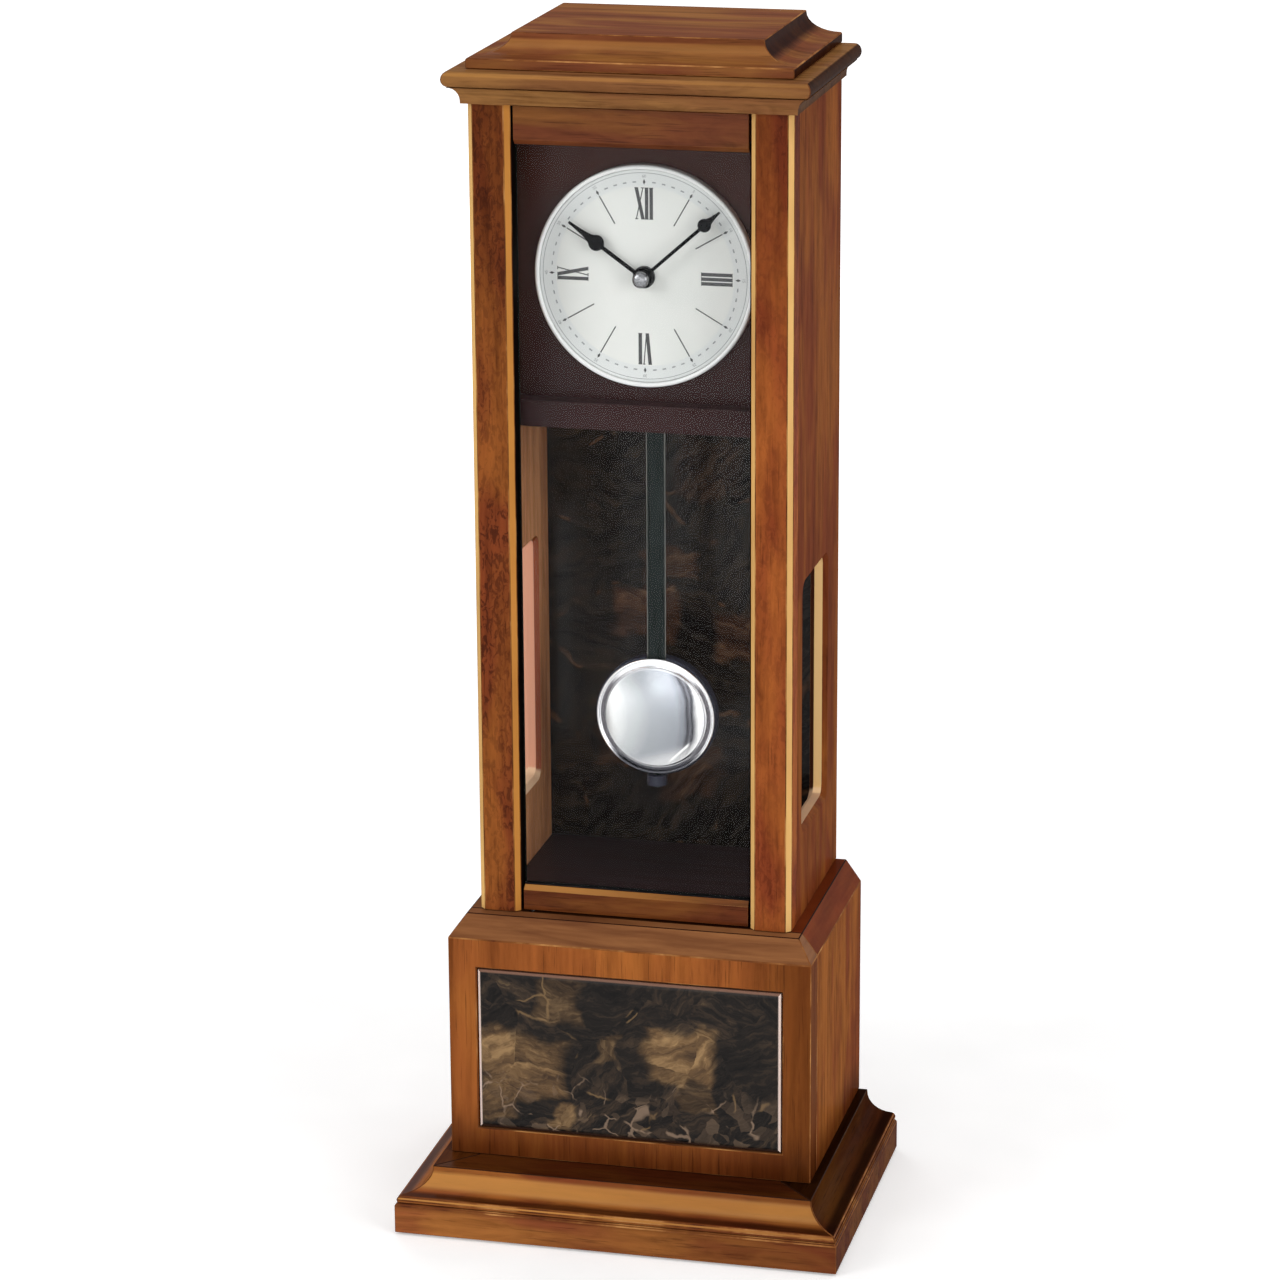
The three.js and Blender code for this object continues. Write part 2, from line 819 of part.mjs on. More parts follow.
// The pins stand in the case, half in it and half in the rail.
function pivotPin(z) {
  return rodZ(pivotRadius, xPivot, yPivot, z - pivotLength / 2, z + pivotLength / 2, 16);
}

function strikeX() {
  return halfDoor - strikeWidth;
}

function strikePlate() {
  const z = zCaseTopBoard - strikeHeight;
  const y = yDoorBack + seam;
  return box(strikeX(), strikeX() + strikeWidth - 2, y, y + strikeThickness, z, z + strikeHeight);
}

function doorMagnet() {
  const z = zCaseTopBoard - strikeHeight;
  const y = yDoorBack + seam + strikeThickness + runningClearance;
  return box(strikeX(), strikeX() + strikeWidth - 2, y, y + magnetDepth, z, zCaseTopBoard - seam);
}

function door() {
  return assembly(
    piece('door_top_rail', rail(zDoorTop, topRailHeight, -1), walnut()),
    piece('door_bottom_rail', rail(zDoor, bottomRailHeight, 1), walnut()),
    piece('door_glass', doorGlass(), finish(0xdfe8e6, 0.03)),
    piece('glass_seal_top', glassSeal(zDoorTop, topRailHeight, -1), blackPlastic()),
    piece('glass_seal_bottom', glassSeal(zDoor, bottomRailHeight, 1), blackPlastic()),
    piece('door_strike_plate', strikePlate(), steel()),
    piece('door_pivot_top', pivotPin(zFrieze - doorEndGap / 2), steel()),
    piece('door_pivot_bottom', pivotPin(zCase + doorEndGap / 2), steel()),
    piece('door_magnet', doorMagnet(), blackPlastic()));
}

// ---- Dial, hands and housing ----

// Plan of the housing from its front plane back, with rounded front corners.
function housingPlan(halfWidth, front, back, radius) {
  const s = new THREE.Shape();
  s.moveTo(-halfWidth, back);
  s.lineTo(-halfWidth, front + radius);
  s.absarc(-halfWidth + radius, front + radius, radius, Math.PI, 1.5 * Math.PI);
  s.lineTo(halfWidth - radius, front);
  s.absarc(halfWidth - radius, front + radius, radius, -Math.PI / 2, 0);
  s.lineTo(halfWidth, back);
  return s;
}

function dialHousing() {
  const wall = housingWall;
  const r = housingCornerRadius;
  const back = yPanel - seam;
  const shell = alongZ(housingPlan(xHousing, yHousing, back, r), zHousing, zHousingTop, 5);
  const lip = alongZ(housingPlan(xHousing, yHousing - lipReach, back, r), zHousing, zHousing + lipHeight, 5);
  const hollow = alongZ(housingPlan(xHousing - wall, yHousing + wall, back + 1, r - wall),
    zHousing + wall, zHousingTop - wall, 5);
  const lipHollow = alongZ(housingPlan(xHousing - wall, yHousing - lipReach + wall, back - 1, r - wall),
    zHousing + wall, zHousing + lipHeight - wall, 5);
  const yRodMiddle = yRod + rodThickness / 2;
  const slot = box(-slotWidth / 2, slotWidth / 2, yRodMiddle - slotDepth / 2, yRodMiddle + slotDepth / 2,
    zHousing - 1, zHousing + wall + 1);
  const shaftHole = rodY(bushRadius + shaftClearance, 0, zDial, yHousing - 1, yHousing + wall + 1);
  return cut(join(shell, lip), hollow, lipHollow, slot, shaftHole);
}

function dialRim() {
  const y0 = yHousing - dialRimHeight;
  const round = dialRimWidth / 2;
  const crest = arcPoints(dialRadius - round, y0 + round, round, round, 0, -Math.PI, 5);
  return turnedY([
    [dialRadius - dialShelfWidth, yHousing - seam],
    [dialRadius, yHousing - seam],
    ...crest,
    [dialRadius - dialRimWidth, yDialShelf],
    [dialRadius - dialShelfWidth, yDialShelf],
    [dialRadius - dialShelfWidth, yHousing - seam],
  ], 0, zDial, 56);
}

function dialPlate() {
  return ringY(bushRadius + shaftClearance, dialRadius - dialRimWidth - seam, 0, zDial,
    yDialPlate, yDialPlate + dialPlateThickness, 56);
}

function bushNut() {
  return ringY(bushRadius + shaftClearance, bushNutRadius, 0, zDial,
    yBushNut, yBushNut + bushNutHeight, 24);
}

// Slim arm, a round ball and a drawn-out point, turned clockwise from twelve.
function handShape(length, ballDistance, ballRadius, hubRadius, bore) {
  const s = new THREE.Shape();
  const w = armHalfWidth;
  const hubAngle = Math.asin(w / hubRadius);
  const footAngle = Math.asin(w / ballRadius);
  const shoulder = Math.PI / 3.4;
  s.absarc(0, 0, hubRadius, Math.PI / 2 + hubAngle, Math.PI / 2 - hubAngle + 2 * Math.PI, false);
  s.lineTo(w, ballDistance - ballRadius * Math.cos(footAngle));
  s.absarc(0, ballDistance, ballRadius, -Math.PI / 2 + footAngle, shoulder, false);
  s.quadraticCurveTo(w * 1.2, ballDistance + ballRadius * 1.35, w * 0.6, length);
  s.lineTo(-w * 0.6, length);
  s.quadraticCurveTo(-w * 1.2, ballDistance + ballRadius * 1.35,
    -ballRadius * Math.cos(shoulder), ballDistance + ballRadius * Math.sin(shoulder));
  s.absarc(0, ballDistance, ballRadius, Math.PI - shoulder, 1.5 * Math.PI - footAngle, false);
  const hole = new THREE.Path();
  hole.absarc(0, 0, bore, 0, 2 * Math.PI, true);
  s.holes.push(hole);
  return s;
}

function handAt(shape, y, degrees) {
  const hand = alongY(shape, 0, handThickness, 8);
  return hand.rotateY(THREE.MathUtils.degToRad(degrees)).translate(0, y, zDial);
}

function hourHand() {
  const bore = hourTubeRadius + shaftClearance / 2;
  const shape = handShape(hourHandLength, hourBallDistance, hourBallRadius, hourHubRadius, bore);
  return handAt(shape, yHourHand, hourHandAngle);
}

function minuteHand() {
  const bore = minuteShaftRadius + shaftClearance / 2;
  const shape = handShape(minuteHandLength, minuteBallDistance, minuteBallRadius, minuteHubRadius, bore);
  return handAt(shape, yMinuteHand, minuteHandAngle);
}

function capNut() {
  const bore = minuteShaftRadius + shaftClearance / 2;
  const y1 = yCapNut + capNutHeight;
  return turnedY([
    ...arcPoints(0, yCapNut + 1.6, capNutRadius, 1.6, -Math.PI / 2, 0, 4),
    [capNutRadius, y1],
    [bore, y1],
    [bore, yCapNut + 1.4],
    [0, yCapNut + 1.4],
  ], 0, zDial, 24);
}

function dialAndHands() {
  return assembly(
    piece('dial_housing', dialHousing(), burgundyPlastic()),
    piece('dial_rim', dialRim(), finish(0xe4e4e2, 0.2)),
    piece('dial_plate', dialPlate(), dialWhite()),
    piece('bush_nut', bushNut(), blackPlastic()),
    piece('hour_hand', hourHand(), blackPlastic()),
    piece('minute_hand', minuteHand(), blackPlastic()),
    piece('hand_cap_nut', capNut(), chrome()));
}

// ---- Movement ----

function movementFront() {
  const x = movementWidth / 2;
  const plate = box(-x, x, yMovement, yMovement + movementWall, zMovement, zMovementTop);
  const bush = rodY(bushRadius, 0, zDial, yBushNut - 0.4, yMovement + movementWall / 2);
  const bore = rodY(hourTubeRadius + shaftClearance, 0, zDial, yBushNut - 1, yMovementBody);
  const stud = rodY(wheelStudRadius, motionCentres, zDial, yMovement + movementWall / 2,
    yMinuteWheel + wheelThickness + 0.8, 12);
  return join(cut(join(plate, bush), bore), stud);
}

function batteryBay() {
  const z1 = zMovementTop - movementWall;
  const x = batteryLength / 2 + batteryClearance;
  return { x, z0: z1 - batteryBayHeight, z1, y0: yMovementBack - batteryBayDepth };
}

function settingAxis() {
  const reach = motionWheelRadius() + settingWheelRadius;
  const angle = THREE.MathUtils.degToRad(settingWheelAngle);
  return { x: motionCentres + reach * Math.cos(angle), z: zDial + reach * Math.sin(angle) };
}

function motionWheelRadius() {
  return motionCentres * motionWheelTeeth / (motionWheelTeeth + minutePinionTeeth);
}

function hourWheelRadius() {
  return motionCentres * hourWheelTeeth / (hourWheelTeeth + motionPinionTeeth);
}

// Tray that holds the wheels and the speaker, with the battery bay at its back.
function movementBody() {
  const x = movementWidth / 2;
  const wall = movementWall;
  const bay = batteryBay();
  const body = box(-x, x, yMovementBody, yMovementBack, zMovement, zMovementTop);
  const wheelRoom = box(-x + wall, x - wall, yMovementBody - 1, yMovementBack - wall,
    zMovement + wall, bay.z0 - wall);
  const frontRoom = box(-x + wall, x - wall, yMovementBody - 1, bay.y0 - wall,
    zMovement + wall, zMovementTop - wall);
  const batteries = box(-bay.x, bay.x, bay.y0, yMovementBack + 1, bay.z0, bay.z1);
  const axis = settingAxis();
  const knobHole = rodY(minuteShaftRadius + shaftClearance, axis.x, axis.z,
    yMovementBack - wall - 1, yMovementBack + 1, 16);
  const hollowHalf = switchKnobSize / 2 + batteryClearance;
  const switchHollow = box(switchFromShaft - hollowHalf, switchFromShaft + hollowHalf,
    yMovementBack - wall / 2, yMovementBack + 1,
    zDial - switchTravel / 2 - hollowHalf, zDial + switchTravel / 2 + hollowHalf);
  const pitch = 2 * speakerRadius / (grilleSlotCount + 1);
  const slots = Array.from({ length: grilleSlotCount }, (_, i) => {
    const z = zDial - speakerRadius + pitch * (i + 1);
    const reach = 0.85 * Math.sqrt(speakerRadius ** 2 - (z - zDial) ** 2);
    return box(xSpeaker - reach, xSpeaker + reach, yMovementBack - wall - 1,
      yMovementBack + 1, z - grilleSlotHeight / 2, z + grilleSlotHeight / 2);
  });
  return cut(body, wheelRoom, frontRoom, batteries, knobHole, switchHollow, ...slots);
}

function battery(level) {
  const bay = batteryBay();
  const z = bay.z0 + batteryRadius + batteryClearance + level * (2 * batteryRadius + batteryClearance);
  const y = bay.y0 + batteryRadius + batteryClearance;
  const x = batteryLength / 2;
  const cell = rodX(batteryRadius, y, z, -x, x - 1.4);
  return join(cell, rodX(batteryRadius * 0.38, y, z, 0, x, 16));
}

function batteryCover() {
  const bay = batteryBay();
  const y = yMovementBack + seam;
  const lid = box(-bay.x - 1.5, bay.x + 1.5, y, y + batteryCoverThickness, bay.z0 - 1.5, bay.z1 + 1.5);
  const grip = box(-6, 6, y + batteryCoverThickness - 0.5, y + batteryCoverThickness + 1,
    bay.z1 - 4, bay.z1 - 2);
  return join(lid, grip);
}

function speaker() {
  const y1 = yMovementBack - movementWall - seam;
  const y0 = y1 - speakerThickness;
  return turnedY([
    [0, y1 - 2.4],
    [speakerRadius * 0.3, y1 - 2.6],
    [speakerRadius * 0.8, y1 - 0.8],
    [speakerRadius, y1],
    [speakerRadius, y1 - 2],
    [speakerRadius * 0.5, y0],
    [0, y0],
  ], xSpeaker, zDial, 24);
}

// Hour wheel with the tube that carries the hour hand.
function hourWheel() {
  const bore = minuteShaftRadius + shaftClearance;
  const y1 = yHourWheel + wheelThickness;
  const wheel = gear(hourWheelRadius(), hourWheelTeeth, 0, zDial, yHourWheel, y1, bore);
  return join(wheel, ringY(bore, hourTubeRadius, 0, zDial, yHourHand - 0.2, y1 - 0.3, 24));
}

// Minute shaft with its pinion and drive wheel.
function minuteWheel() {
  const y1 = yMinuteWheel + wheelThickness;
  const radius = motionCentres - motionWheelRadius();
  const pinion = gear(radius, minutePinionTeeth, 0, zDial, yMinuteWheel, y1);
  const wheel = rodY(hourWheelRadius() * 0.8, 0, zDial, y1 + 1.6, y1 + 1.6 + wheelThickness, 40);
  const shaft = rodY(minuteShaftRadius, 0, zDial, yMinuteHand - 0.6, y1 + 5, 20);
  return join(pinion, wheel, shaft);
}

// Wheel and pinion between the minute pinion and the hour wheel.
function motionWheel() {
  const x = motionCentres;
  const pinionRadius = motionCentres - hourWheelRadius();
  const wheel = gear(motionWheelRadius(), motionWheelTeeth, x, zDial, yMinuteWheel,
    yMinuteWheel + wheelThickness);
  const pinion = gear(pinionRadius, motionPinionTeeth, x, zDial, yHourWheel, yMinuteWheel + 0.3);
  const bore = rodY(wheelStudRadius + shaftClearance, x, zDial, yHourWheel - 1,
    yMinuteWheel + wheelThickness + 1, 12);
  return cut(join(wheel, pinion), bore);
}

// Hand-setting knob on its shaft, with the small wheel at the other end.
function settingKnob() {
  const axis = settingAxis();
  const y0 = yMovementBack + runningClearance;
  const knob = turnedY([
    [0, y0],
    [knobRadius, y0],
    [knobRadius, y0 + knobHeight - 1],
    [knobRadius - 1, y0 + knobHeight],
    [0, y0 + knobHeight],
  ], axis.x, axis.z, 18);
  const shaft = rodY(minuteShaftRadius, axis.x, axis.z, yMinuteWheel - 0.6, y0 + 1, 16);
  const wheel = gear(settingWheelRadius, settingWheelTeeth, axis.x, axis.z,
    yMinuteWheel, yMinuteWheel + wheelThickness);
  return join(knob, shaft, wheel);
}

function chimeSwitch() {
  const half = switchKnobSize / 2;
  return box(switchFromShaft - half, switchFromShaft + half,
    yMovementBack - movementWall / 2 + runningClearance, yMovementBack + 2, zDial - half, zDial + half);
}

function movement() {
  return assembly(
    piece('movement_front', movementFront(), blackPlastic()),
    piece('movement_body', movementBody(), blackPlastic()),
    piece('battery_lower', battery(0), finish(0x2f5d46, 0.35)),
    piece('battery_upper', battery(1), finish(0x2f5d46, 0.35)),
    piece('battery_cover', batteryCover(), blackPlastic()),
    piece('chime_speaker', speaker(), blackPlastic()),
    piece('hour_wheel', hourWheel(), brass()),
    piece('minute_wheel', minuteWheel(), brass()),
    piece('motion_wheel', motionWheel(), brass()),
    piece('setting_knob', settingKnob(), blackPlastic()),
    piece('chime_switch', chimeSwitch(), blackPlastic()));
}

// ---- Pendulum ----

// Two cheeks under the movement, joined at the top and by the hanger pin.
function pendulumBracket() {
  const x = bracketWidth / 2;
  const y0 = yBracket;
  const y1 = y0 + bracketDepth;
  const z1 = zMovement - seam;
  const z0 = z1 - bracketHeight;
  const block = box(-x, x, y0, y1, z0, z1);
  const hollow = box(-x - 1, x + 1, y0 + bracketWall, y1 - bracketWall, z0 - 1, z1 - bracketWall);
  const pin = rodY(hangerPinRadius, 0, zPivot, y0 + bracketWall / 2, y1 - bracketWall / 2, 16);
  return join(cut(block, hollow), pin);
}

function driveCoil() {
  const y1 = yBracket + bracketDepth - bracketWall - seam;
  return ringY(2, coilRadius, 0, zCoil, y1 - coilThickness, y1, 24);
}

// Hanger with its hook for the rod and the magnet that the coil drives.
function hanger() {
  const x = hangerWidth / 2;
  const y1 = yHanger + hangerThickness;
  const plate = alongY(roundedRectangle(-x, x, zPivot - hangerReachBelow, zPivot + hangerReachAbove, 2),
    yHanger, y1, 4);
  const hook = rodY(1.2, 0, zHook, yRod - 1, yHanger + 0.5, 12);
  const yCoil = yBracket + bracketDepth - bracketWall - seam - coilThickness;
  const magnet = rodY(magnetRadius, 0, zCoil, y1 - 0.3, yCoil - coilGap, 20);
  const hole = rodY(hangerPinRadius + runningClearance, 0, zPivot, yHanger - 1, y1 + 1, 16);
  return cut(join(plate, hook, magnet), hole);
}

// Flat rod with the hook hole at the top and a round stud under the bob.
function pendulumRod() {
  const x = rodWidth / 2;
  const zFoot = rodFoot();
  const strip = alongY(roundedRectangle(-x, x, zFoot, zHook + 4, 1.5), yRod, yRod + rodThickness, 4);
  const zTip = zBob - bobRadius - runningClearance - ratingNutHeight - studTip;
  const stud = rodZ(studRadius, 0, yRod + rodThickness / 2, zTip, zFoot + studOverlap, 12);
  const hole = rodY(1.2 + runningClearance, 0, zHook, yRod - 1, yRod + rodThickness + 1, 12);
  return cut(join(strip, stud), hole);
}

function rodFoot() {
  return zBob - bobRadius + 6;
}

function bobFront() {
  return yRod + rodThickness / 2 - studRadius - runningClearance;
}

// Disc with a channel down its front for the rod and its stud.
function bobBody() {
  const y0 = bobFront();
  const c = runningClearance;
  const top = zBob + bobRadius + 1;
  const disc = rodY(bobRadius, 0, zBob, y0, y0 + bobBodyThickness, 48);
  const x = rodWidth / 2 + c;
  const rodChannel = box(-x, x, y0 - 1, yRod + rodThickness + c,
    rodFoot() - c - bobTravel, top);
  const r = studRadius + c;
  const studChannel = box(-r, r, y0 - 1, yRod + rodThickness / 2 + r,
    zBob - bobRadius - 1, rodFoot() + studOverlap + c + bobTravel);
  return cut(disc, rodChannel, studChannel);
}

// Polished face: a raised rim, a groove and a low dome.
function bobFace() {
  const y1 = bobFront() - seam;
  const y0 = y1 - 0.8;
  const dome = arcPoints(0, y0, bobDomeRadius, bobDomeHeight, 0, -Math.PI / 2, 7);
  return turnedY([
    [0, y1],
    [bobFaceRadius, y1],
    [bobFaceRadius, y1 - bobRimHeight + 0.4],
    [bobFaceRadius - 0.5, y1 - bobRimHeight],
    [bobFaceRadius - bobRimWidth + 0.4, y1 - bobRimHeight],
    [bobFaceRadius - bobRimWidth, y0],
    ...dome,
  ], 0, zBob, 48);
}

function ratingNut() {
  const z1 = zBob - bobRadius - runningClearance;
  const y = yRod + rodThickness / 2;
  const nut = rodZ(ratingNutRadius, 0, y, z1 - ratingNutHeight, z1, 24);
  return cut(nut, rodZ(studRadius + runningClearance, 0, y, z1 - ratingNutHeight - 1, z1 + 1, 12));
}

function pendulum() {
  return assembly(
    piece('pendulum_bracket', pendulumBracket(), blackPlastic()),
    piece('drive_coil', driveCoil(), finish(0xa5522b, 0.4)),
    piece('pendulum_hanger', hanger(), blackPlastic()),
    piece('pendulum_rod', pendulumRod(), finish(0x1d2422, 0.35)),
    piece('bob_body', bobBody(), finish(0x20272a, 0.4)),
    piece('bob_face', bobFace(), chrome()),
    piece('rating_nut', ratingNut(), finish(0x20272a, 0.4)));
}

const clock = assembly(base(), caseBody(), door(), dialAndHands(), movement(), pendulum());

export default clock;
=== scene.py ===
"""Looks for the standing pendulum clock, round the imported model. Metres, +Z up, front towards -Y."""

from math import asin, cos, degrees, pi, radians, sin, sqrt

import bmesh
import bpy
from mathutils import Matrix, Vector


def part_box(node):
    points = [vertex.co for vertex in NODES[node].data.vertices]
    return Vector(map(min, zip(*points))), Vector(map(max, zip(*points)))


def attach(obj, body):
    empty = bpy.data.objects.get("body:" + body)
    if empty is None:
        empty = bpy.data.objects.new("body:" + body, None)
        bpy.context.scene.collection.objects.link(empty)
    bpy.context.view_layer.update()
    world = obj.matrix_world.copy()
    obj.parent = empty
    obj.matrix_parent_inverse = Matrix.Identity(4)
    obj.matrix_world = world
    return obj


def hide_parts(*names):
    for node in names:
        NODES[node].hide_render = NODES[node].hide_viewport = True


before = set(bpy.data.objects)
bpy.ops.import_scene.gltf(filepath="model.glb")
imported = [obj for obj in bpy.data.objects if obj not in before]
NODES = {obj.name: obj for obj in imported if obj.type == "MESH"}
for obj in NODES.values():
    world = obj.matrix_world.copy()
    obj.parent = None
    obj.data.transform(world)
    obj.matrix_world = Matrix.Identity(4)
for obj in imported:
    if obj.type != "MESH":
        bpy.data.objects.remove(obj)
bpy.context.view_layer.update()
SCENE = bpy.context.scene
MM = 0.001

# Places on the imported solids, in millimetres.
DIAL_CENTRE = 401.0
PLATE_FRONT = -2.6
BOB_CENTRE = 210.2

# ---- Camera ----

# Fitted to the photograph, whose frame is 1280 x 1280 pixels.
FOCAL_PIXELS = 4406.65
IMAGE_PIXELS = 1280
SENSOR = 36.0
YAW, PITCH, ROLL = 0.2408, 0.2886, -0.0062
CAMERA_DISTANCE = 1.8485
CAMERA_TARGET = Vector((-8.55, 20.35, 240.64)) * MM


def add_object(name, data):
    made = bpy.data.objects.new(name, data)
    SCENE.collection.objects.link(made)
    return made


def make_camera():
    data = bpy.data.cameras.new("camera")
    data.sensor_width = SENSOR
    data.lens = SENSOR * FOCAL_PIXELS / IMAGE_PIXELS
    data.clip_start, data.clip_end = 0.05, 50
    camera = add_object("camera", data)
    away = Vector((sin(YAW) * cos(PITCH), -cos(YAW) * cos(PITCH), sin(PITCH)))
    right = (-away).cross(Vector((0, 0, 1))).normalized()
    up = right.cross(-away)
    right_rolled = right * cos(ROLL) + up * sin(ROLL)
    up_rolled = up * cos(ROLL) - right * sin(ROLL)
    place = Matrix((right_rolled, up_rolled, away)).transposed().to_4x4()
    place.translation = CAMERA_TARGET + away * CAMERA_DISTANCE
    camera.matrix_world = place
    SCENE.camera = camera


# ---- Colours and shader nodes ----

def srgb(*levels):
    """A colour given as 0 to 255, as the linear colour that shaders take."""
    shares = [level / 255 for level in levels]
    return (*(v / 12.92 if v <= 0.04045 else ((v + 0.055) / 1.055) ** 2.4 for v in shares), 1.0)


class Shader:
    """A new material, or a world that is given, and short calls that add nodes to it."""

    def __init__(self, name, world=None):
        self.block = world or bpy.data.materials.new(name)
        self.block.use_nodes = True
        self.tree = self.block.node_tree
        self.tree.nodes.clear()
        self.output = self.add("ShaderNodeOutputWorld" if world else "ShaderNodeOutputMaterial")
        if not world:
            self.coordinates = self.add("ShaderNodeTexCoord")

    def add(self, kind, inputs=(), **settings):
        node = self.tree.nodes.new(kind)
        for key, value in settings.items():
            setattr(node, key, value)
        for key, value in dict(inputs).items():
            self.feed(node.inputs[key], value)
        return node

    def feed(self, socket, value):
        if isinstance(value, bpy.types.NodeSocket):
            self.tree.links.new(value, socket)
        else:
            socket.default_value = value

    def place(self, scale=(1, 1, 1), location=(0, 0, 0)):
        """The piece's own coordinates in metres, scaled and moved."""
        return self.add("ShaderNodeMapping", {
            "Vector": self.coordinates.outputs["Object"],
            "Scale": scale, "Location": location}).outputs[0]

    def split(self, socket):
        return self.add("ShaderNodeSeparateXYZ", {0: socket}).outputs

    def where(self):
        """X, Y and Z of the piece's own coordinates, in metres."""
        return self.split(self.coordinates.outputs["Object"])

    def facing(self):
        """X, Y and Z of the direction in which the surface looks."""
        return self.split(self.coordinates.outputs["Normal"])

    def noise(self, scale, detail=4.0, roughness=0.55, distortion=0.0, at=None):
        """Noise at a place, or in the piece's own coordinates."""
        return self.add("ShaderNodeTexNoise", {
            "Vector": at or self.place(), "Scale": scale, "Detail": detail,
            "Roughness": roughness, "Distortion": distortion}).outputs["Fac"]

    def cells(self, vector, scale, feature="F1"):
        inputs = {"Vector": vector, "Scale": scale}
        return self.add("ShaderNodeTexVoronoi", inputs, feature=feature).outputs

    def math(self, operation, first, second=0.0, third=0.0, clamp=False):
        node = self.add("ShaderNodeMath", operation=operation, use_clamp=clamp)
        for socket, value in zip(node.inputs, (first, second, third)):
            self.feed(socket, value)
        return node.outputs[0]

    def plus(self, first, second, clamp=False):
        return self.math("ADD", first, second, clamp=clamp)

    def minus(self, first, second):
        return self.math("SUBTRACT", first, second)

    def times(self, first, *others):
        for other in others:
            first = self.math("MULTIPLY", first, other)
        return first

    def mul_add(self, first, factor, added):
        return self.math("MULTIPLY_ADD", first, factor, added)

    def abs(self, value):
        return self.math("ABSOLUTE", value)

    def distance(self, u, v):
        return self.math("SQRT", self.plus(self.times(u, u), self.times(v, v)))

    def vectors(self, operation, first, second):
        return self.add("ShaderNodeVectorMath", {0: first, 1: second}, operation=operation).outputs[0]

    def span(self, value, low, high, to_low=0.0, to_high=1.0):
        """Value from low to high, carried smoothly to to_low to to_high."""
        return self.add("ShaderNodeMapRange", {
            "Value": value, "From Min": low, "From Max": high, "To Min": to_low, "To Max": to_high},
            interpolation_type="SMOOTHSTEP").outputs["Result"]

    def fall(self, value, low, high):
        """1 up to low, 0 from high."""
        return self.span(value, low, high, 1.0, 0.0)

    def vary(self, noise, low, high):
        """Carries the usual reach of a noise to low to high."""
        return self.span(noise, 0.3, 0.7, low, high)

    def band(self, axis, level, width):
        """1 at a level along an axis of the piece, falling to 0 at that width from it."""
        return self.fall(self.abs(self.minus(self.where()[axis], level)), 0.0, width)

    def ramp(self, value, stops):
        node = self.add("ShaderNodeValToRGB", {0: value})
        marks = node.color_ramp.elements
        while len(marks) < len(stops):
            marks.new(0.5)
        for mark, (position, colour) in zip(marks, stops):
            mark.position = position
            mark.color = colour
        return node.outputs["Color"]

    def tones(self, value, *stops):
        """Ramp whose stops are a position and a colour given as 0 to 255."""
        return self.ramp(value, [(position, srgb(*colour)) for position, *colour in stops])

    def two(self, value, dark, pale):
        """Ramp between two colours given as 0 to 255."""
        return self.tones(value, (0.3, *dark), (0.7, *pale))

    def blend(self, share, first, second, kind="MIX"):
        node = self.add("ShaderNodeMix", data_type="RGBA", blend_type=kind)
        self.feed(node.inputs[0], share)
        self.feed(node.inputs[6], first)
        self.feed(node.inputs[7], second)
        return node.outputs[2]

    def paint(self, share, under, *colour):
        """Lays a colour given as 0 to 255 over another."""
        return self.blend(share, under, srgb(*colour))

    def multiply(self, colour, tint):
        return self.blend(1.0, colour, tint, "MULTIPLY")

    def stain(self, share, colour, tint):
        """Leans a colour towards itself times a tint."""
        return self.blend(share, colour, self.multiply(colour, tint))

    def bump(self, height, distance, strength=1.0):
        return self.add("ShaderNodeBump", {
            "Height": height, "Distance": distance, "Strength": strength}).outputs["Normal"]

    def seen(self):
        """1 for rays from the camera, also by way of a mirror or glass."""
        path = self.add("ShaderNodeLightPath").outputs
        indirect = self.math("MAXIMUM", path["Is Glossy Ray"], path["Is Transmission Ray"])
        return self.math("MAXIMUM", path["Is Camera Ray"], indirect)

    def principled(self, colour, **inputs):
        names = {"rough": "Roughness", "metal": "Metallic", "normal": "Normal", "coat": "Coat Weight",
                 "coat_rough": "Coat Roughness", "sheen": "Sheen Weight", "ior": "IOR",
                 "specular": "Specular IOR Level", "transmission": "Transmission Weight"}
        named = {names[k]: v for k, v in inputs.items()}
        return self.add("ShaderNodeBsdfPrincipled", {"Base Color": colour, **named})

    def mix(self, share, first, second):
        return self.add("ShaderNodeMixShader", {0: share, 1: first.outputs[0], 2: second.outputs[0]})

    def end(self, node):
        """Makes a shader the last one, and returns the finished material."""
        self.tree.links.new(node.outputs[0], self.output.inputs["Surface"])
        return self.block

    def surface(self, colour, **inputs):
        return self.end(self.principled(colour, **inputs))


# ---- Wood ----

RUSSET, AMBER = srgb(134, 68, 36), srgb(160, 95, 43)
RUBBED_AND_LIT = srgb(238, 190, 118)
# Tints, by which a colour is multiplied.
BAND_TINT = (0.30, 0.23, 0.21, 1)
# Painted shade: the next two tints darken faces that look sideways and level faces.
SIDEWAYS_SHADE = (0.15, 0.11, 0.11, 1)
LEDGE_SHADE = (0.24, 0.20, 0.20, 1)
REDDER = (1.04, 0.80, 0.88, 1)
OLIVE = (0.95, 1.36, 2.10, 1)
SHADED_RED = (0.68, 0.31, 0.22, 1)
PLAIN = (1, 1, 1, 1)
STRETCH = {"x": (0.06, 1, 1), "y": (1, 0.06, 1), "z": (1, 1, 0.06)}
# Places on the clock, in metres.
MOULDING_TOP, BOX_TOP = 0.0270, 0.1330
OPENING_HALF = 0.0492  # from the middle to the posts
CHAMBER_HALF = 0.0592  # from the middle to the side boards
HAIR = 0.0002  # width of a sharp change of colour
WINDOW_REAR = (0.030, 0.034)  # where the rear cheek of a window starts
SILL_BOTTOM, SILL_TOP = (0.160, 0.165), (0.190, 0.185)
POST_INSIDE, POST_OUTSIDE = 0.054, 0.060


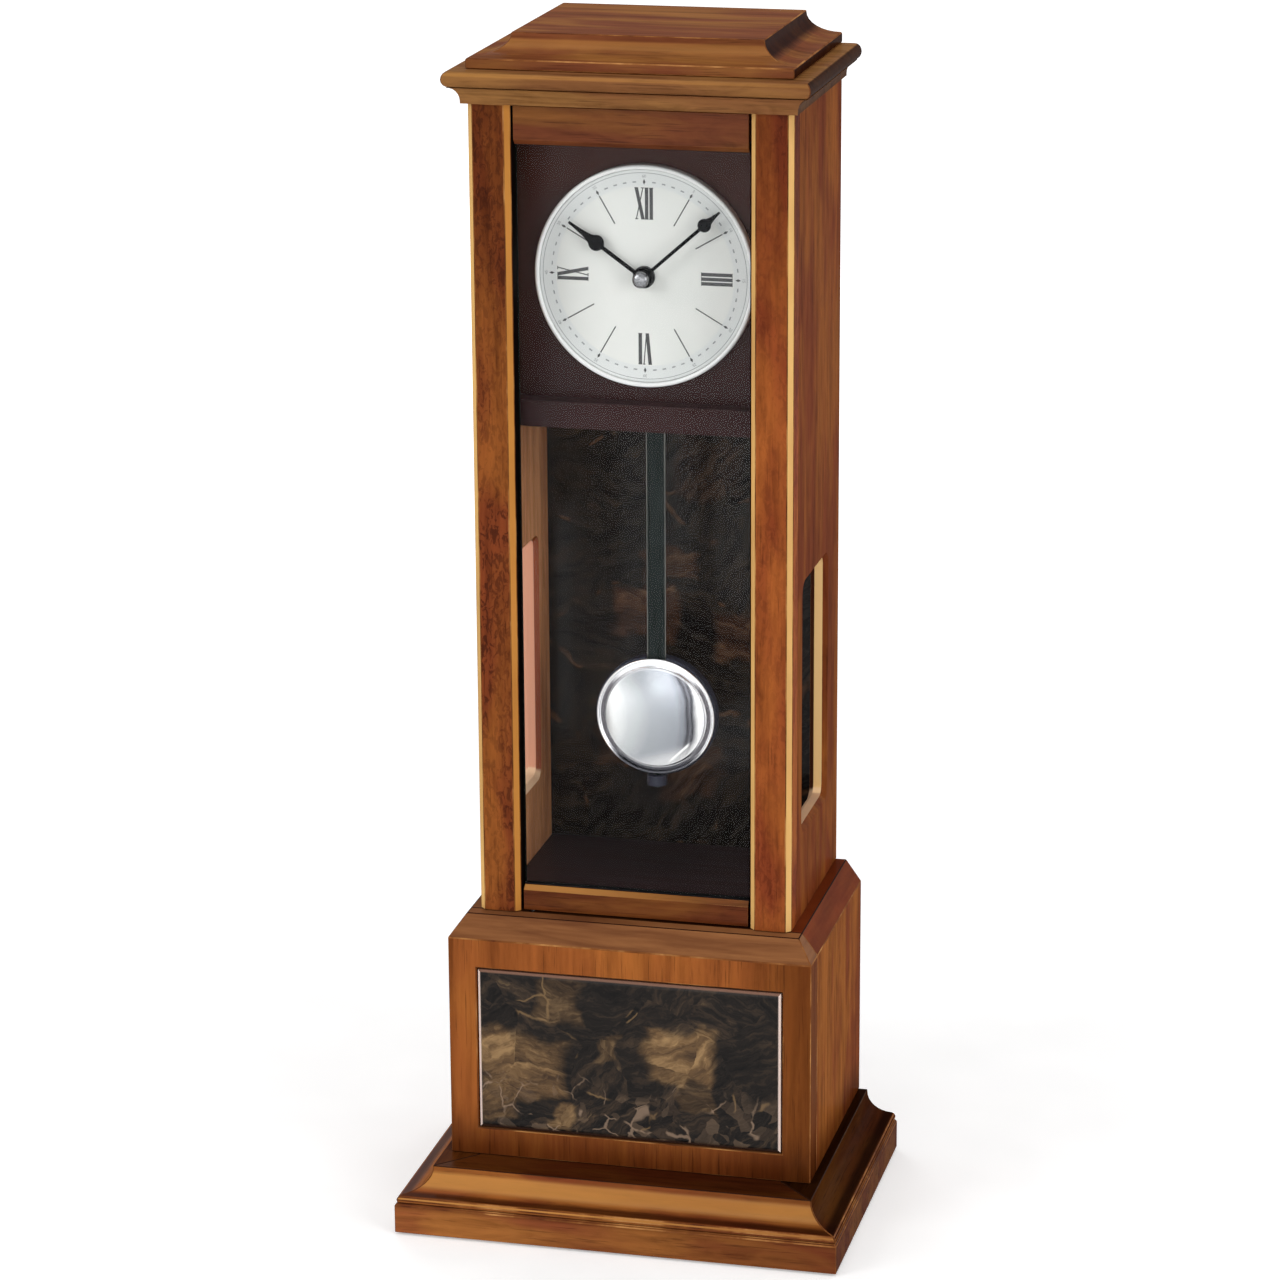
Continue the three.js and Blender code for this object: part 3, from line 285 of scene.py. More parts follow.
def window_light_and_shade(s, colour, tone, normal):
    """Paints light and shade on a side board: the inner wall paler as if lit, the rear cheek of its
    window pale as if lit where it looks outward and dark with painted shade where it looks inward, and a
    painted highlight on the sill.
    """
    where = s.where()
    outward = s.times(normal["X"], s.math("SIGN", where["X"]))
    hall = s.fall(s.abs(where["X"]), CHAMBER_HALF, CHAMBER_HALF + HAIR)
    # Painted light: the inner wall is paler, as if lit.
    lit_wall = s.tones(tone, (0.42, 186, 126, 86), (0.5, 208, 144, 98), (0.6, 226, 162, 114))
    colour = s.blend(s.times(hall, s.fall(outward, -0.95, -0.85)), colour, lit_wall)
    right_side = s.span(where["X"], 0.0, 0.001)
    open_face = s.minus(1.0, s.times(right_side, s.span(outward, 0.3, 0.5)))
    cheek = s.times(s.span(where["Y"], *WINDOW_REAR), s.fall(normal["Y"], -0.6, -0.4))
    # Painted light and shade on the rear cheek: bare is the lit colour, pink at the left and tan at the
    # right; cut is painted shade on the faces that look inward, darkest at the right.
    bare = s.blend(right_side, srgb(238, 170, 140), srgb(232, 190, 130))
    cut = s.blend(right_side, srgb(168, 92, 68), srgb(58, 30, 20))
    tint = s.blend(s.span(outward, -0.5, -0.3), cut, bare)
    colour = s.blend(s.times(cheek, open_face, 0.9), colour, tint)
    # Painted highlight on the sill, stronger at the left.
    deck = s.times(s.span(where["Z"], *SILL_TOP), s.span(where["Z"], *SILL_BOTTOM))
    sill = s.times(deck, open_face, s.span(normal["Z"], 0.25, 0.5))
    return s.paint(s.times(sill, s.span(right_side, 0, 1, 0.9, 0.5)), colour, 246, 206, 168)


def walnut(name, grain, shift, light=1.0, rub_and_highlight=0.0, blackened=None, figure=1.0, dark_bands=(), crest=None,
           ledge=None, windowed=False, olive=0.0, slope=None, ends=0.0, coat=0.05, gold=RUBBED_AND_LIT,
           mottle=0.0, red=0.0, hues=(0.0, 1.0)):
    """Stained and lacquered wood with its grain along one axis.

    shift moves the figure so that no two boards match, figure is the strength of its
    curls, hues are the shares of amber in the darkest and the palest cloud, and mottle is
    the strength of dark specks. red and olive are how far the stain leans to them.
    The dark bands, each (axis, level, width, share), make the wood darker about a level
    along an axis. light scales the colour: the board's own tone, and painted shade on boards
    that face right or lie in shadow. ledge is the share of painted shade on level faces, ends
    its share on faces that look sideways. slope is the share and the tint of plain brown on
    the bevel at the top, where a darker tint is painted shade. crest is the share of gold on
    faces between two slopes, the slopes, and how much of it is left at the right; the gold is
    wear through the finish with a painted highlight. The share of gold chamfers says how far
    diagonal chamfers wear through the finish and catch a painted highlight, the inner ones
    down to gold. Inside the half width blackened, faces that look sideways are black.
    """
    s = Shader("walnut_" + name)
    stretch = STRETCH[grain]
    fine = s.place(scale=stretch, location=(shift, shift * 0.7, shift * 0.3))
    broad = s.place(scale=tuple(c ** 0.45 for c in stretch), location=(shift * 0.6, shift, shift * 0.9))
    cloud = s.noise(46, 3, 0.5, 0.5, at=broad)
    streak = s.noise(300, 5, 0.62, 0.5, at=fine)
    wave = s.noise(70, 3, 0.55, 1.1, at=fine)
    curl = s.noise(150, 4, 0.6, 1.6, at=broad)
    colour = s.blend(s.span(cloud, 0.38, 0.62, *hues), RUSSET, AMBER)
    tone = s.mul_add(streak, 0.40, s.times(wave, 0.34))
    tone = s.mul_add(curl, 0.26 * figure, s.plus(tone, 0.13 * (1 - figure)))
    shade = s.ramp(tone, [(0.36, (0.50, 0.46, 0.43, 1)), (0.46, (0.84, 0.82, 0.80, 1)),
                          (0.54, (1.04, 1.04, 1.02, 1)), (0.66, (1.24, 1.22, 1.18, 1))])
    colour = s.multiply(colour, shade)
    along = s.place(scale=tuple(c if c == 1 else 0.03 for c in stretch), location=(0, shift, 0))
    pore = s.span(s.noise(1500, 2, 0.5, at=along), 0.60, 0.72)
    colour = s.paint(s.times(pore, 0.45), colour, 44, 20, 12)
    dots = s.cells(broad, 75.0)
    rare = s.span(s.split(dots["Color"])["X"], 0.93, 0.95)
    fleck = s.times(rare, s.fall(dots["Distance"], 0.02, 0.07))
    colour = s.paint(s.times(fleck, 0.6), colour, 40, 18, 10)
    if mottle:
        speck = s.noise(420, 4, 0.7, 0.8, at=s.place(scale=(1, 1, 0.45), location=(shift, 0, shift)))
        patchy = s.times(s.span(speck, 0.47, 0.58), s.span(cloud, 0.30, 0.62, 1.0, 0.35))
        colour = s.paint(s.times(patchy, mottle), colour, 62, 28, 16)
    # light scales the colour: the board's own tone, and painted shade on boards that face right or lie in
    # shadow.
    if light != 1.0:
        colour = s.multiply(colour, (light, light, light, 1))
    for share, tint in ((red, REDDER), (olive, OLIVE)):
        if share:
            colour = s.stain(share, colour, tint)
    normal = s.facing()
    # Darker bands about given levels of the board.
    for axis, level, width, share in dark_bands:
        uneven = s.span(wave, 0.35, 0.65, share * 0.75, share)
        colour = s.stain(s.times(s.band(axis, level, width), uneven), colour, BAND_TINT)
    # Painted shade on level faces.
    if ledge:
        colour = s.stain(s.span(normal["Z"], 0.93, 0.99, 0, ledge), colour, LEDGE_SHADE)
    # Plain brown on the top bevel; a darker tint, as on the right side, is painted shade.
    if slope:
        share, tint = slope
        lying = s.noise(260, 4, 0.6, 0.4, at=s.place(scale=(0.07, 0.07, 1), location=(shift, 0, 0)))
        brown = s.tones(lying, (0.34, 108, 66, 40), (0.5, 127, 81, 49), (0.68, 144, 95, 58))
        tilted = s.span(normal["Z"], 0.3, 0.5)
        colour = s.blend(s.times(tilted, share), colour, s.multiply(brown, tint))
    # Painted shade on faces that look sideways, like the shade on the right side of the case.
    if ends:
        colour = s.stain(s.times(s.span(s.abs(normal["X"]), 0.25, 0.6), ends), colour, SIDEWAYS_SHADE)
    # Gold on the crests between slopes: wear through the finish, with a painted highlight, weaker towards
    # the right.
    if crest:
        share, low, high, fade = crest
        raised = s.times(s.span(normal["Z"], low, low + 0.2), s.fall(normal["Z"], high - 0.15, high))
        wear_and_highlight = s.times(s.span(s.noise(40, 3, at=fine), 0.35, 0.6, 0.55, 1.0),
                       s.span(s.where()["X"], -0.035, 0.035, 1, fade),
                       s.fall(s.abs(normal["X"]), 0.15, 0.45))
        colour = s.paint(s.times(raised, wear_and_highlight, share), colour, 206, 146, 76)
    if windowed:
        colour = window_light_and_shade(s, colour, tone, normal)
    # Diagonal chamfers painted gold: wear through the finish, with a painted highlight on them.
    if rub_and_highlight:
        slant = s.abs(s.times(normal["X"], normal["Y"]))
        rubs = s.noise(60, 2, at=s.place(scale=(1, 1, 0.3), location=(shift, 0, 0)))
        patch = s.span(rubs, 0.25, 0.65, 0.7, 1.0)
        share = s.times(s.span(slant, 0.30, 0.45), patch, rub_and_highlight)
        outer = s.span(s.abs(s.where()["X"]), POST_INSIDE, POST_OUTSIDE)
        colour = s.blend(share, colour, s.blend(outer, gold, RUBBED_AND_LIT))
    if blackened:
        inside = s.fall(s.abs(s.where()["X"]), blackened, blackened + HAIR)
        colour = s.paint(s.times(inside, s.span(s.abs(normal["X"]), 0.85, 0.95)), colour, 20, 13, 11)
    height = s.mul_add(pore, -0.6, s.times(streak, 0.5))
    return s.surface(
        colour, rough=s.vary(streak, 0.34, 0.44), specular=0.0,
        normal=s.bump(height, 0.00004, 0.4), coat=coat, coat_rough=0.2)


def edge_wood():
    """Golden wood on the arrises, where wear has lifted the stain, with a painted highlight; but dark at
    the base's moulding top and box top: dark joints, and painted shade in the creases there.
    """
    s = Shader("walnut_edge_wear_and_highlight")
    patch = s.noise(45, 4, 0.6)
    # The gold is partly wear on the arrises and partly a painted highlight.
    colour = s.tones(patch, (0.34, 86, 45, 25), (0.5, 128, 76, 38), (0.68, 188, 132, 76))
    for top in (MOULDING_TOP, BOX_TOP):
        # Dark joints, and painted shade in the creases, at the moulding top and the box top.
        colour = s.paint(s.band("Z", top, 0.0010), colour, 40, 20, 13)
    return s.surface(
        colour, rough=s.vary(patch, 0.32, 0.42), specular=0.0, coat=0.05, coat_rough=0.2)


# ---- Other materials ----

def plastic(name, dark, pale, rough, relief=0.00002, coat=0.0):
    """Moulded plastic with a fine spark-eroded grain and a faint change of shade."""
    s = Shader(name)
    fine = s.noise(900, 2)
    return s.surface(
        s.two(s.noise(26, 3), dark, pale), rough=s.vary(fine, rough - 0.05, rough + 0.06),
        specular=0.12, normal=s.bump(fine, relief, 0.6), coat=coat, coat_rough=0.2)


def metal(name, dark, pale, rough, brush=(1, 1, 1), grain=700, relief=0.000004):
    """Bare or plated metal with faint brushing or polish marks."""
    s = Shader(name)
    marks = s.noise(grain, 3, at=s.place(scale=brush))
    cloud = s.noise(60, 3)
    return s.surface(
        s.two(s.mul_add(marks, 0.4, s.times(cloud, 0.6)), dark, pale),
        rough=s.vary(marks, rough * 0.8, rough * 1.25), normal=s.bump(marks, relief, 0.4), metal=1.0)


def housing_plastic():
    """Dark burgundy moulding, a little paler towards the top, which is painted light."""
    s = Shader("housing_burgundy")
    cloud = s.noise(24, 3)
    # Painted light: paler towards the top.
    up = s.mul_add(s.minus(cloud, 0.5), 0.25, s.span(s.where()["Z"], 0.34, 0.465))
    fine = s.noise(1500, 2)
    return s.surface(
        s.tones(up, (0.0, 47, 25, 26), (1.0, 59, 27, 21)), rough=s.vary(fine, 0.27, 0.32),
        specular=0.12, normal=s.bump(fine, 0.000003, 0.25))


# Paler clouds of the shell laminate: x, z, radius and share, in metres; then their dark, middle
# and pale colour.
INLAY_PATCHES = [(-0.047, 0.069, 0.021, 1.0), (0.022, 0.080, 0.017, 1.0), (-0.056, 0.050, 0.010, 0.7),
                 (-0.009, 0.080, 0.008, 0.35), (-0.028, 0.047, 0.007, 0.7), (0.030, 0.062, 0.008, 0.35),
                 (-0.030, 0.101, 0.012, 0.35)]
INLAY_GLINT = ((62, 46, 34), (112, 86, 58), (160, 128, 88))
LINING_PATCHES = [(-0.016, 0.240, 0.015, 0.75), (0.030, 0.232, 0.016, 0.6), (-0.004, 0.262, 0.012, 0.5),
                  (0.002, 0.170, 0.018, 0.4), (-0.030, 0.178, 0.012, 0.25), (0.012, 0.305, 0.018, 0.3)]
LINING_GLINT = ((40, 26, 20), (76, 50, 36), (120, 86, 60))
JITTER = 0.022  # how far the edge of a cloud wanders, in metres


def pearl(name, shift, patches, glint, cells, chips=None, bevels=False, dim=1.0):
    """Shell laminate: dark pieces laid at angles, each with its own silky fibres.

    chips is the level below which small pale chips lie. bevels paints light and shade on the
    cut edges of the plate: a painted highlight on the side bevels, dull pink as if less lit
    on the top, and painted shade on the bottom. dim weakens the paler fibres of the dark pieces.
    """
    s = Shader(name)
    base = s.place(location=(shift, 0, shift))
    ripple = s.add("ShaderNodeTexNoise", {"Vector": base, "Scale": 55.0, "Detail": 4.0}).outputs["Color"]
    jitter = s.split(ripple)
    bent = s.vectors("ADD", s.vectors("MULTIPLY", ripple, (0.014, 0.014, 0.014)), base)
    flat = s.vectors("MULTIPLY", bent, (1, 0, 1))
    cell = s.split(s.cells(flat, cells)["Color"])
    turned = s.add("ShaderNodeVectorRotate", {
        "Vector": bent, "Axis": (0, 1, 0), "Angle": s.mul_add(cell["X"], 1.9, -0.75)}).outputs[0]
    silk = s.vectors("MULTIPLY", turned, (0.16, 1, 1))
    fibres = s.noise(420, 5, 0.62, 0.7, at=silk)
    depth = s.mul_add(fibres, 0.5, s.times(s.noise(110, 3, 0.5, 0.9, at=silk), 0.5))
    where = s.where()
    glow = 0.0
    for x, z, radius, share in patches:
        dx = s.mul_add(jitter["X"], JITTER, s.minus(where["X"], x + JITTER / 2))
        dz = s.mul_add(jitter["Y"], JITTER, s.minus(where["Z"], z + JITTER / 2))
        far = s.math("MAXIMUM", s.abs(dx), s.abs(s.times(dz, 1.25)))
        glow = s.plus(glow, s.span(far, radius * 0.62, radius, share, 0.0), clamp=True)
    glow = s.times(glow, s.span(cell["Y"], 0.1, 0.75, 0.8, 1.0))
    dark = s.tones(depth, (0.36, 14, 12, 12), (0.50, 32, 27, 24),
                   (0.62, 60 * dim, 48 * dim, 38 * dim), (0.74, 110 * dim, 90 * dim, 64 * dim))
    low, middle, high = glint
    colour = s.blend(glow, dark, s.tones(depth, (0.34, *low), (0.50, *middle), (0.66, *high)))
    seam = s.cells(flat, cells, "DISTANCE_TO_EDGE")["Distance"]
    line = s.times(s.fall(seam, 0.004, 0.028), s.span(s.noise(60, 2, at=base), 0.56, 0.63))
    colour = s.paint(s.times(line, 0.4), colour, *high)
    if chips:
        one = s.split(s.cells(flat, cells * 4.6)["Color"])
        low_down = s.fall(s.mul_add(jitter["Z"], 0.03, s.minus(where["Z"], 0.015)),
                          chips - 0.006, chips + 0.006)
        share = s.times(s.span(one["X"], 0.68, 0.80), low_down, 0.30)
        colour = s.blend(share, colour, s.blend(one["Y"], srgb(76, 60, 48), srgb(140, 116, 94)))
        rims = s.cells(flat, cells * 1.9, "DISTANCE_TO_EDGE")["Distance"]
        crack = s.times(s.fall(rims, 0.010, 0.035), s.span(s.noise(90, 2, at=base), 0.50, 0.58))
        colour = s.paint(s.times(crack, low_down, 0.45), colour, 176, 148, 124)
    if bevels:
        # Painted light and shade on the bevels: the bottom dark, the top dull pink, the sides pale.
        normal = s.facing()
        rail = s.blend(s.fall(normal["Z"], -0.1, 0.1), srgb(126, 92, 76), srgb(52, 34, 27))
        colour = s.blend(s.span(s.abs(normal["Z"]), 0.25, 0.35), colour, rail)
        colour = s.paint(s.span(s.abs(normal["X"]), 0.25, 0.35), colour, 232, 208, 196)
    return s.surface(
        colour, rough=s.vary(fibres, 0.22, 0.32), specular=0.08,
        normal=s.bump(depth, 0.00001, 0.2), coat=0.10, coat_rough=0.05)


def dark_board():
    """Dark stained board with a faint grain."""
    s = Shader("floor_dark")
    grain = s.noise(240, 4, 0.6, 0.4, at=s.place(scale=(0.08, 1, 1)))
    return s.surface(
        s.two(grain, (34, 22, 24), (48, 32, 33)), rough=s.vary(grain, 0.39, 0.51), specular=0.08,
        normal=s.bump(s.noise(1600, 2), 0.000008, 0.3), coat=0.08, coat_rough=0.3)


def hardboard():
    """Brown pressed board with short fibres in it."""
    s = Shader("back_hardboard")
    fibre = s.noise(620, 5, 0.7, 1.2, at=s.place(scale=(1, 1, 0.5)))
    tone = s.mul_add(fibre, 0.7, s.times(s.noise(18, 3), 0.3))
    return s.surface(
        s.tones(tone, (0.32, 38, 25, 18), (0.5, 62, 41, 29), (0.7, 92, 64, 44)),
        rough=s.vary(fibre, 0.55, 0.7), normal=s.bump(fibre, 0.00008, 0.5))


def felt():
    s = Shader("felt_green")
    pile = s.noise(1900, 4, 0.7)
    tuft = s.noise(300, 3)
    return s.surface(
        s.two(s.mul_add(pile, 0.6, s.times(tuft, 0.4)), (22, 40, 28), (48, 78, 56)), rough=0.95,
        normal=s.bump(pile, 0.0002, 0.8), sheen=0.5)


def dial_white():
    """Matt white lacquer, a shade greyer under the minute track."""
    s = Shader("dial_white")
    where = s.where()
    far = s.distance(where["X"], s.minus(where["Z"], DIAL_CENTRE * MM))
    white = s.two(s.noise(40, 2), (238, 239, 236), (244, 244, 241))
    colour = s.paint(s.times(s.span(far, 0.0365, 0.0372), 0.55), white, 226, 229, 231)
    return s.surface(colour, rough=s.vary(s.noise(1400, 3), 0.46, 0.56), specular=0.15)


def ink(name, dark, pale):
    s = Shader(name)
    return s.surface(s.two(s.noise(1200, 2), dark, pale), rough=0.5)


def clear_glass():
    """Thin clear pane with dark ground edges: light passes it, and it keeps its own reflections."""
    s = Shader("clear_glass")
    tint = s.ramp(s.noise(14, 3), [(0.35, (0.975, 0.985, 0.98, 1)), (0.65, (1, 1, 1, 1))])
    pane = s.principled(tint, rough=0.0, transmission=1.0, ior=1.12)
    path = s.add("ShaderNodeLightPath").outputs
    passes = s.math("MAXIMUM", path["Is Shadow Ray"], path["Is Diffuse Ray"])
    open_air = s.add("ShaderNodeBsdfTransparent", {"Color": (0.96, 0.97, 0.965, 1)})
    ground = s.add("ShaderNodeBsdfDiffuse", {"Color": s.two(s.noise(500, 3), (14, 22, 20), (24, 34, 31))})
    sideways = s.span(s.abs(s.facing()["X"]), 0.5, 0.6)
    return s.end(s.mix(sideways, s.mix(passes, pane, open_air), ground))


def bob_chrome(dome, rim):
    """Polished nickel with a painted reflection: pale at the left, soft grey in the middle, dark and
    white bands at the right.

    The dome ends at the radius dome and the face at the radius rim. The lower part of
    the rim is painted dark, a painted reflection of the floor of the chamber; a painted
    highlight streaks the dome and painted shade greys the groove. u and v run from -1 to
    1 across the dome.
    """
    s = Shader("bob_chrome")
    where = s.where()
    u = s.math("DIVIDE", where["X"], dome)
    v = s.math("DIVIDE", s.minus(where["Z"], BOB_CENTRE * MM), dome)
    far = s.distance(u, v)
    drift = s.minus(s.noise(70, 2), 0.5)
    wide = s.mul_add(s.times(v, v), 0.34, s.mul_add(drift, 0.16, u))
    # Painted reflection across the dome: pale at the left, grey in the middle, dark and white bands at
    # the right.
    body = s.tones(
        s.mul_add(wide, 1 / 2.25, 1 / 2.25),
        (0.03, 254, 254, 254), (0.10, 246, 247, 247), (0.22, 206, 209, 211), (0.42, 168, 172, 177),
        (0.66, 154, 158, 165), (0.72, 128, 131, 138), (0.745, 66, 66, 72), (0.765, 112, 113, 119),
        (0.785, 64, 64, 70), (0.80, 150, 151, 154), (0.83, 244, 244, 244), (0.90, 206, 207, 212))
    # Painted reflection: a pale crescent low on the dome.
    lower = s.span(s.mul_add(u, -0.35, v), -0.62, -0.95)
    body = s.paint(s.times(lower, 0.6), body, 246, 246, 247)
    # Painted highlight: a thin white streak on the right of the dome.
    glint = s.fall(s.abs(s.minus(s.mul_add(u, -0.95, v), -1.12)), 0.01, 0.05)
    glint = s.times(glint, s.times(s.span(u, 0.22, 0.36), s.fall(u, 0.62, 0.70)))
    body = s.paint(glint, body, 250, 250, 250)
    # Painted highlight: a pale ring at the edge of the dome.
    colour = s.paint(s.span(far, 0.92, 0.99), body, 238, 238, 240)
    # Painted shade in the groove, strongest at its sides.
    groove = s.times(s.span(far, 0.985, 1.01), s.fall(far, rim / dome - 0.03, rim / dome - 0.005))
    shade = s.times(s.span(s.abs(u), 0.45, 0.85, 0.1, 0.95), s.span(v, 0.95, 0.5))
    colour = s.paint(s.times(groove, shade), colour, 88, 84, 90)
    # Painted reflection of the chamber floor: a dark crescent under the dome.
    under = s.times(s.span(far, 0.995, 1.02), s.span(v, -0.50, -0.92))
    colour = s.paint(s.times(under, 0.93), colour, 44, 45, 56)
    return s.surface(colour, metal=1.0, rough=s.vary(s.noise(90, 2), 0.20, 0.25))


def rod_finish():
    """Blackened strip whose two long edges show bright metal."""
    s = Shader("rod_black")
    edge = s.span(s.abs(s.where()["X"]), 0.0035, 0.0038)
    marks = s.noise(900, 3, at=s.place(scale=(1, 1, 0.05)))
    return s.surface(
        s.paint(edge, s.two(marks, (18, 24, 24), (34, 42, 41)), 104, 104, 100),
        metal=s.span(edge, 0, 1, 0.2, 1.0), specular=0.1, rough=s.vary(marks, 0.26, 0.36),
        normal=s.bump(marks, 0.000006, 0.4))


def battery_sleeve():
    """Printed sleeve without words: a dark body, a bright band and bare metal ends."""
    s = Shader("battery_sleeve")
    x = s.where()["X"]
    fine = s.noise(800, 2, at=s.place(scale=(0.2, 1, 1)))
    body = s.two(fine, (30, 66, 50), (40, 84, 64))
    colour = s.paint(s.span(x, 0.0090, 0.0092), body, 206, 170, 92)
    steel = s.plus(s.span(x, 0.0233, 0.0234), s.fall(x, -0.0246, -0.0245), clamp=True)
    return s.surface(
        s.paint(steel, colour, 196, 197, 198), metal=s.span(steel, 0, 1, 0.25, 1.0),
        rough=s.vary(fine, 0.26, 0.34))


def copper_coil():
    """Enamelled copper wire wound round the coil's axis."""
    s = Shader("copper_coil")
    rings = s.add("ShaderNodeTexWave", {"Vector": s.place(), "Scale": 700.0, "Distortion": 0.6},
                  wave_type="BANDS", bands_direction="Y").outputs["Fac"]
    return s.surface(
        s.tones(rings, (0.2, 96, 40, 18), (0.8, 196, 104, 56)), metal=0.85, rough=0.32,
        normal=s.bump(rings, 0.00008, 0.8))


# ---- Mesh helpers ----

ROUND_ANGLE = 40  # edges of a turned piece over this angle stay sharp


def new_piece(mesh, body, material, smooth_angle=None):
    """Adds an object with its mesh's name to a body."""
    piece = add_object(mesh.name, mesh)
    mesh.materials.append(material)
    if smooth_angle:
        mesh.polygons.foreach_set("use_smooth", [True] * len(mesh.polygons))
        mesh.set_sharp_from_angle(angle=radians(smooth_angle))
    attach(piece, body)
    return piece


def finished_mesh(bm, mesh):
    """Moves what bm holds into the mesh."""
    bm.to_mesh(mesh)
    bm.free()
    return mesh


def join_meshes(name, meshes):
    bm = bmesh.new()
    for mesh in meshes:
        bm.from_mesh(mesh)
        bpy.data.meshes.remove(mesh)
    joined = finished_mesh(bm, bpy.data.meshes.new(name))
    joined.materials.clear()
    return joined


def on_circle(x, z, radius, angle, rise=None):
    """Point at an angle in radians on a circle, or on an ellipse as high as rise says."""
    return x + radius * cos(angle), z + (rise or radius) * sin(angle)


def circle(x, z, radius, count):
    return [on_circle(x, z, radius, 2 * pi * i / count) for i in range(count)]


def arc(x, z, radius, start, end, count, rise=None):
    """Points on an arc, with the angles in degrees."""
    return [on_circle(x, z, radius, radians(start + (end - start) * i / count), rise)
            for i in range(count + 1)]


def lathe(name, profile, x, z, segments):
    """Solid of revolution about a line along Y. The profile lists (radius, y) and closes
    on the axis or on itself."""
    rings, vertices = [], []
    for radius, y in profile:
        if radius < 1e-6:
            rings.append([len(vertices)])
            vertices.append((x, y, z))
            continue
        rings.append(list(range(len(vertices), len(vertices) + segments)))
        vertices += [(u, y, v) for u, v in circle(x, z, radius, segments)]
    faces = []
    for first, second in zip(rings, rings[1:]):
        for i in range(segments):
            j = (i + 1) % segments
            corners = [first[i % len(first)], first[j % len(first)],
                       second[j % len(second)], second[i % len(second)]]
            corners = list(dict.fromkeys(corners))
            if len(corners) > 2:
                faces.append(corners)
    mesh = bpy.data.meshes.new(name)
    mesh.from_pydata([[c * MM for c in v] for v in vertices], [], faces)
    bm = bmesh.new()
    bm.from_mesh(mesh)
    bmesh.ops.remove_doubles(bm, verts=bm.verts, dist=1e-7)
    bmesh.ops.recalc_face_normals(bm, faces=bm.faces)
    return finished_mesh(bm, mesh)


def flat_shapes(name, loops_list, y_front, y_back):
    """Thin plates in the plane of the dial. Each entry is a list of loops of (x, z): the
    outline, then any holes."""
    bm = bmesh.new()
    for loops in loops_list:
        edges = []
        for loop in loops:
            points = [bm.verts.new((u * MM, y_back * MM, v * MM)) for u, v in loop]
            edges += [bm.edges.new(pair) for pair in zip(points, points[1:] + points[:1])]
        if len(loops) == 1:
            faces = [bm.faces.new([e.verts[0] for e in edges])]
        else:
            faces = [f for f in bmesh.ops.triangle_fill(bm, edges=edges)["geom"]
                     if isinstance(f, bmesh.types.BMFace)]
        grown = bmesh.ops.extrude_face_region(bm, geom=faces)["geom"]
        moved = [v for v in grown if isinstance(v, bmesh.types.BMVert)]
        bmesh.ops.translate(bm, verts=moved, vec=(0, (y_front - y_back) * MM, 0))
    bmesh.ops.recalc_face_normals(bm, faces=bm.faces)
    return finished_mesh(bm, bpy.data.meshes.new(name))


def on_dial(points, clockwise):
    """Points drawn upright about the middle of the dial, turned clockwise by degrees."""
    c, s = cos(radians(clockwise)), sin(radians(clockwise))
    return [(u * c + v * s, DIAL_CENTRE - u * s + v * c) for u, v in points]


# ---- Dial print, in millimetres ----

PRINT_FRONT = PLATE_FRONT - 0.05
FIGURE_LIFT = 0.004  # from one stroke of a figure to the next
NUMERAL_INNER, NUMERAL_OUTER = 23.4, 36.4
LINE_INNER, LINE_OUTER, LINE_HALF = 24.4, 37.2, 0.24
TRACK_RADIUS = 38.7
DASH_HALF, DASH_HALF_HEIGHT = 0.75, 0.27
DIAMOND_HALF, DIAMOND_HALF_HEIGHT = 0.55, 1.15
NUMBER_RADIUS, NUMBER_SIZE = 41.0, 1.75
EDGE_LINE_RADII = (42.5, 42.28)
THICK, THIN, SERIF = 1.42, 0.42, 0.34
LETTER_WIDTHS = {"I": 1.9, "V": 3.9, "X": 3.9}


def bar(u0, u1, v0, v1):
    return [(u0, v0), (u1, v0), (u1, v1), (u0, v1)]


def slanted(top, bottom, width, v0, v1):
    """Stroke from (bottom, v0) to (top, v1), width measured across."""
    h = width / 2
    return [(bottom - h, v0), (bottom + h, v0), (top + h, v1), (top - h, v1)]


def numeral(text):
    """Narrow upright Roman figures with thick and thin strokes, centred on u = 0."""
    full = NUMERAL_INNER, NUMERAL_OUTER
    foot, head = (full[0], full[0] + SERIF), (full[1] - SERIF, full[1])
    left = -sum(LETTER_WIDTHS[c] for c in text) / 2
    strokes = []
    for c in text:
        right = left + LETTER_WIDTHS[c]
        middle = (left + right) / 2
        if c == "I":
            strokes += [bar(middle - THICK / 2, middle + THICK / 2, *full),
                        *(bar(left + 0.12, right - 0.12, *level) for level in (foot, head))]
        elif c == "V":
            strokes += [slanted(left + 0.75, middle, THICK, *full),
                        slanted(right - 0.55, middle + 0.3, THIN, *full),
                        bar(left + 0.02, left + 1.5, *head), bar(right - 1.1, right - 0.1, *head)]
        else:
            strokes += [slanted(left + 0.55, right - 0.55, THICK, *full),
                        slanted(right - 0.55, left + 0.55, THIN, *full)]
            for level in (foot, head):
                strokes += [bar(left + 0.1, left + 1.4, *level), bar(right - 1.4, right - 0.1, *level)]
        left = right
    return strokes


def figures():
    """XII, III, VI and IX. Strokes of one figure that cross lie at slightly different heights."""
    placed = [(layer, on_dial(stroke, turned))
              for text, turned in (("XII", 0), ("III", 90), ("VI", 180), ("IX", 270))
              for layer, stroke in enumerate(numeral(text))]
    layers = [flat_shapes("figures", [[stroke] for k, stroke in placed if k == layer],
                          PRINT_FRONT - FIGURE_LIFT * layer, PLATE_FRONT)
              for layer in range(max(k for k, _ in placed) + 1)]
    return join_meshes("dial_figures", layers)


